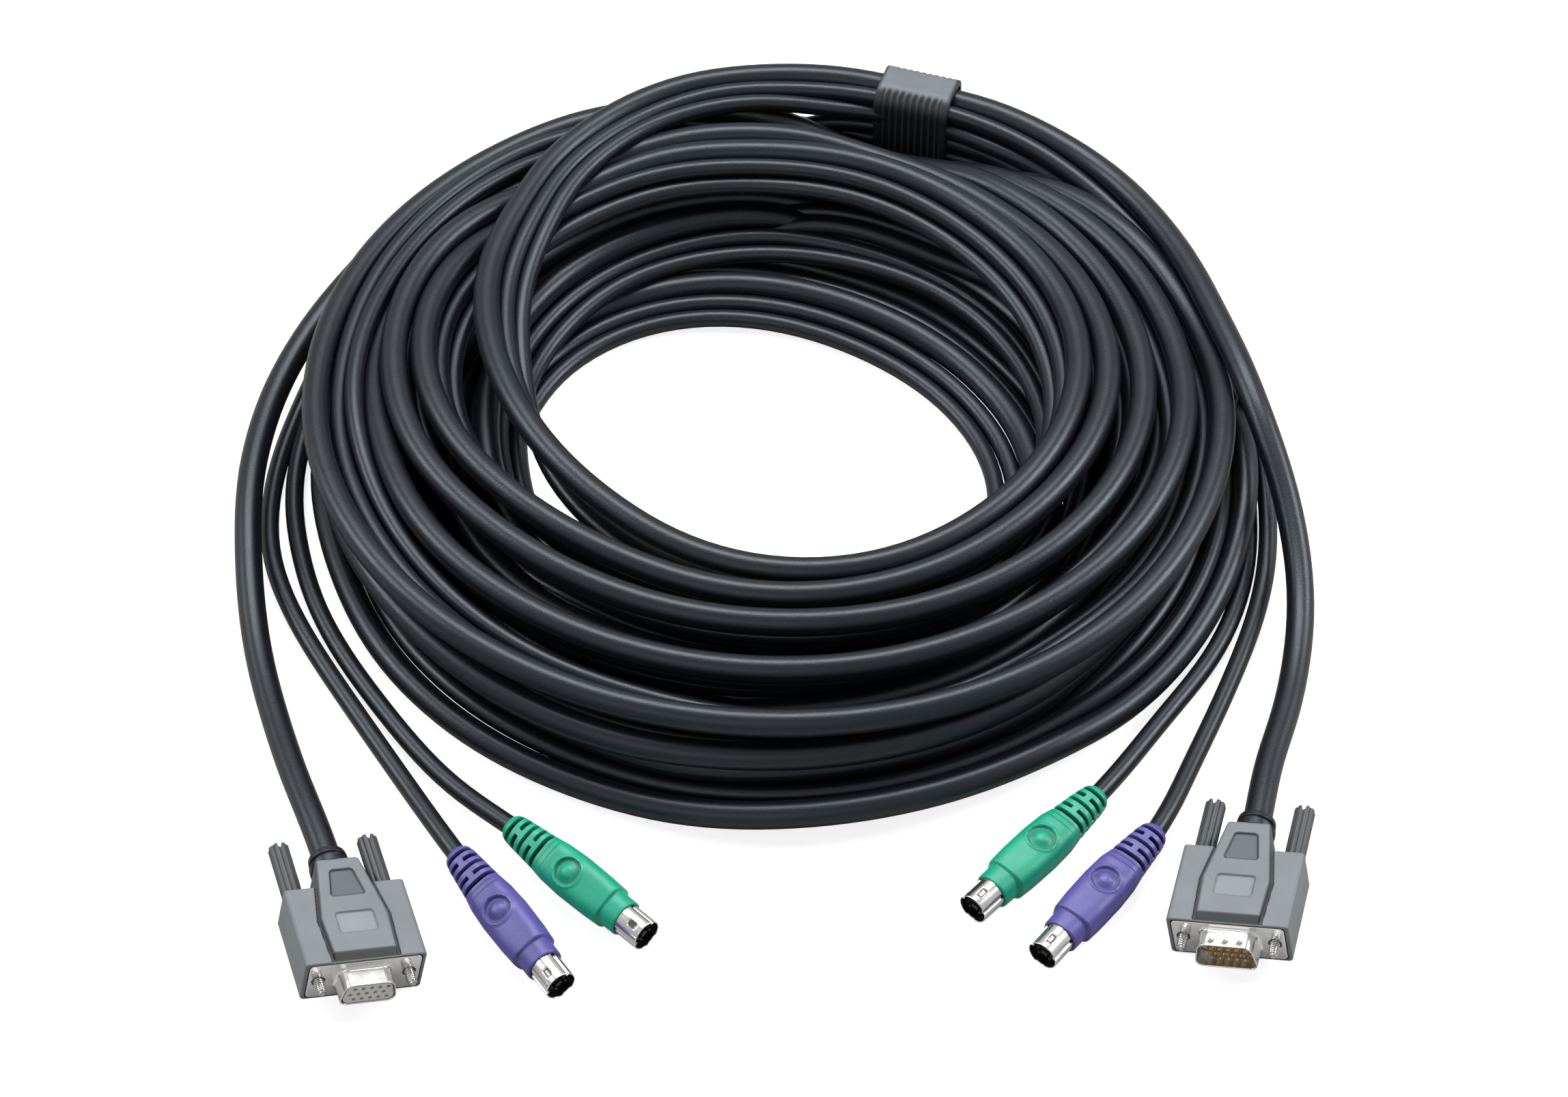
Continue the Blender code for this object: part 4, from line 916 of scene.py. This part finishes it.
knob_grey = finished(
    "knob_grey", (0.062, 0.072, 0.080), (0.016, 0.018, 0.021), (0.14, 0.15, 0.16),
    gloss=0.42, grain=0.00035, depth=0.00004, dust=0.06,
)
for plug in SHELLS:
    for hand, side in (("left", -1), ("right", 1)):
        body = f"{plug}_thumbscrew_{hand}"
        rings, tone = threaded_screw(side)
        screw = skinned(f"{body}_thread", [set_in(plug, rings)], nickel, body, [tone])
        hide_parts(f"{plug}_screw_{hand}")
        rings, tone = fluted_knob(side)
        knob = skinned(f"{body}_knob", [set_in(plug, rings)], knob_grey, body, [tone])
        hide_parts(f"{plug}_knob_{hand}")


# The round plugs: a coloured vinyl grip moulded over the shell and the cord, green for the mouse
# and violet for the keyboard. The top flat face has a ringed thumb button, and the tail is cut by
# a row of slots so that it bends with the cord.
GRIP = np.array((
    (0.0, 4.9, 4.75, 2.2), (0.4, 5.25, 4.9, 2.3), (5.2, 5.3, 4.9, 2.4), (5.9, 6.2, 5.4, 3.0),
    (11.3, 6.5, 5.45, 3.3), (20.5, 6.65, 5.4, 3.2), (27.4, 6.25, 5.4, 3.2),
    (32.2, 5.55, 4.9, 2.8), (43.4, 4.4, 4.15, 2.4), (45.2, 3.9, 3.8, 2.1), (46.0, 3.2, 3.2, 2.0),
))
BUTTON, RING = 20.5, 4.3
COLLAR, LEDGES = 5.5, (28.2, 30.1)
SLOT_FIRST, SLOT_PITCH, SLOT_HALF, SLOT_DEEP, BRIDGE = 32.2, 2.8, 0.55, 1.3, 1.1


def slotted_grip():
    """A squarish oval swept along the plug: each ring is the curve where the sum of the two
    shares, each to the ring's power, is 1. The button rises by the distance from its
    middle, two ledges lower the top behind it, and the slots press the tail in."""
    depth = np.concatenate([[0.7, 0.02], np.arange(0.1, 46.0, 0.19), [46.0]])
    wide, high, power = softened(GRIP, np.maximum(depth, 0), 0.2)
    wide[:2] = high[:2] = 4.55
    power[:2] = 2.0
    high -= 0.22 * sum(eased((depth - y) / 0.25) * eased((38 - depth) / 8) for y in LEDGES)
    angle = np.linspace(0, 2 * math.pi, 128, endpoint=False)
    c, s = np.cos(angle)[None], np.sin(angle)[None]
    wide, high, power, along = (v[:, None] for v in (wide, high, power, depth))
    reach = (np.abs(c / wide) ** power + np.abs(s / high) ** power) ** (-1 / power)
    across, up = reach * c, reach * s
    face = np.sign(s)
    flat = eased((np.abs(up) / high - 0.75) / 0.2)
    away = np.hypot(across, along - BUTTON)
    ring = np.exp(-(((away - RING) / 0.42) ** 2))
    moat = eased((RING - away) / 0.7) * eased((away - 1.2) / 2.0)
    dome = eased((2.9 - away) / 2.7)
    flat = flat * (s > 0)
    up = up + flat * (0.35 * ring - 0.60 * moat + 0.45 * dome)
    # Painted shade in the button's moat, and painted highlights on its ring and its dome.
    tone = flat * (0.55 * moat * eased((away - 2.2) / 1.0) - 0.6 * ring - 0.3 * dome)
    row = (along - SLOT_FIRST) / SLOT_PITCH
    near = np.abs(row - np.clip(np.round(row), 0, 4)) * SLOT_PITCH
    split = np.clip(np.round(row), 0, 4) % 2 == 1
    cut = eased((SLOT_HALF + 0.1 - near) / 0.2)
    cut = cut * np.where(split, eased((np.abs(across) - BRIDGE + 0.12) / 0.24), 1.0)
    side = eased((np.abs(up) / high - 0.12) / 0.12)
    sunk = cut * side * SLOT_DEEP
    across, up = across * (1 - sunk / reach), up * (1 - sunk / reach)
    # Painted shade in the slots and a painted highlight on the lands between them.
    tone = tone + 1.2 * eased(sunk / 0.7) - 0.35 * (1 - cut) * (row > -0.4) * (row < 4.4) * side
    # Painted shade lines at the collar's shoulder and at both ledges, on the top face.
    for y in (COLLAR, *LEDGES):
        tone = tone + 0.6 * flat * np.exp(-(((along - y) / 0.2) ** 2))
    # Painted shade on the front face round the shell.
    tone[:2] = 0.9
    return np.stack([across, along + 0 * across, up], -1), np.clip(tone, -1, 1)


# Each round plug's shell: a tube of plated steel with a wide key and two narrow ones
# rolled in, so that it fits one way round, and an index dent on top.
TUBE, TUBE_WALL, TUBE_LONG = 4.5, 0.35, 8.0
KEYS = ((270, 22, 0.6), (30, 8, 0.6), (150, 8, 0.6))


def keyed_shell():
    """Rings along the outside, round the lip and back inside; the radius dips at each key,
    by its depth and with short slopes inside its width."""
    turn = np.linspace(0, math.pi, 7)
    half = TUBE_WALL / 2
    outside = -np.arange(-2.0, TUBE_LONG - 0.2, 0.25)
    inside = -np.linspace(TUBE_LONG - 0.4, 2.3, 14)
    depth = np.concatenate([outside, -(TUBE_LONG - half) - half * np.sin(turn), inside])
    radius = np.concatenate([
        TUBE + 0 * outside, TUBE - half + half * np.cos(turn), TUBE - TUBE_WALL + 0 * inside,
    ])[:, None]
    degrees = np.arange(0, 360, 2.5)[None]
    along = depth[:, None]
    dip = sum(
        deep * eased((wide - np.abs((degrees - at + 180) % 360 - 180)) / 4)
        for at, wide, deep in KEYS
    )
    dent = eased((13 - np.abs(degrees - 90)) / 3) * eased((1.6 - np.abs(along + 4.6)) / 0.4)
    radius = radius - dip - 0.4 * dent
    angle = np.radians(degrees)
    # Painted shade in the index dent, in the keys and inside the tube.
    tone = 0.9 * dent + 0.5 * dip + 0.4 * (np.arange(depth.size) > outside.size + 5)[:, None]
    return np.stack([radius * np.cos(angle), along + 0 * radius, radius * np.sin(angle)], -1), tone


green = finished(
    "green", (0.003, 0.36, 0.215), (0.0005, 0.06, 0.035), (0.05, 0.50, 0.33),
    gloss=0.42, grain=0.0004, depth=0.00005, dust=0.03,
)
violet = finished(
    "violet", (0.095, 0.083, 0.33), (0.008, 0.006, 0.045), (0.18, 0.165, 0.46),
    gloss=0.42, grain=0.0004, depth=0.00005, dust=0.03,
)
for plug in ("mouse_plug_left", "keyboard_plug_left", "mouse_plug_right", "keyboard_plug_right"):
    colour, slot = (green, "green") if plug.startswith("mouse") else (violet, "violet")
    rings, tone = slotted_grip()
    grip = skinned(f"{plug}_moulding", [set_in(plug, rings)], colour, tones=[tone])
    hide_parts(f"{plug}_grip")
    rings, tone = keyed_shell()
    shell = skinned(f"{plug}_metal", [set_in(plug, rings)], nickel, tones=[tone])
    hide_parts(f"{plug}_shell")


# Each cord as a whole: it leaves its left plug, runs through the coil and ends in its right plug,
# whose pieces are gathered in a list.
for c, (name, (cord, path)) in enumerate(declared.items()):
    last = ENDS[name][1]
    hidden = ("_hood", "_shell", "_grip", "_screw_left", "_screw_right", "_knob_left",
              "_knob_right")
    carried = [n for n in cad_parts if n.startswith(last) and not n.endswith(hidden)]
    carried += [o.name for o in bpy.data.objects if o.type == "MESH" and o.name.startswith(last)
                and o.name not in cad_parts]


# The table: a wide flat plane, plain and matt. Its glow, which only the camera sees, makes
# it show nearly white without lighting the cable.
table = finished(
    "table", (0.48, 0.48, 0.48), (0.48, 0.48, 0.48), (0.48, 0.48, 0.48),
    gloss=0.85, grain=0.002, depth=0.00001, dust=0.0, uneven=0.05,
)
rays = table.node_tree.nodes.new("ShaderNodeLightPath").outputs
shine = table.node_tree.nodes["Principled BSDF"].inputs
shine["Emission Color"].default_value = (1, 1, 1, 1)
glow = calculate(table.node_tree, "MULTIPLY", rays["Is Camera Ray"], 0.82)
table.node_tree.links.new(glow, shine["Emission Strength"])
mesh = bpy.data.meshes.new("table")
mesh.from_pydata([(-3, -3, 0), (3, -3, 0), (3, 3, 0), (-3, 3, 0)], [], [(0, 1, 2, 3)])
floor = placed("table", mesh)
mesh.materials.append(table)
floor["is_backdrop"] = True

# Light: a wide soft box overhead and behind, a weak fill in front, and a smaller box at each
# side for the highlights along the cords. All shine at the middle of the table.
for name, place, size, power in (
    ("overhead", (-0.05, 0.6, 1.4), (1.2, 0.5), 21), ("front", (-0.5, -1.3, 1.1), (1.2, 0.8), 2.5),
    ("left", (-1.25, 0.25, 0.85), (0.4, 0.6), 8), ("right", (1.25, 0.25, 0.85), (0.4, 0.6), 12),
):
    lamp = bpy.data.lights.new(name, "AREA")
    lamp.shape = "RECTANGLE"
    lamp.size, lamp.size_y = size
    lamp.energy = power
    made = placed(name, lamp)
    made.location = place
    made.rotation_euler = (-Vector(place)).to_track_quat("-Z", "Y").to_euler()
world = bpy.data.worlds.new("world")
bpy.context.scene.world = world
world.use_nodes = True
sky = world.node_tree
sky.nodes["Background"].inputs["Color"].default_value = (1, 1, 1, 1)
rays = sky.nodes.new("ShaderNodeLightPath").outputs
seen = calculate(sky, "MAXIMUM", rays["Is Camera Ray"], rays["Is Glossy Ray"])
strength = calculate(sky, "MULTIPLY_ADD", rays["Is Camera Ray"], 0.5, calculate(
    sky, "MULTIPLY_ADD", seen, 0.35, 0.15))
sky.links.new(strength, sky.nodes["Background"].inputs["Strength"])
bpy.context.scene.view_settings.view_transform = "Standard"

boxes = {"cad": cad_box, "visual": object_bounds()}
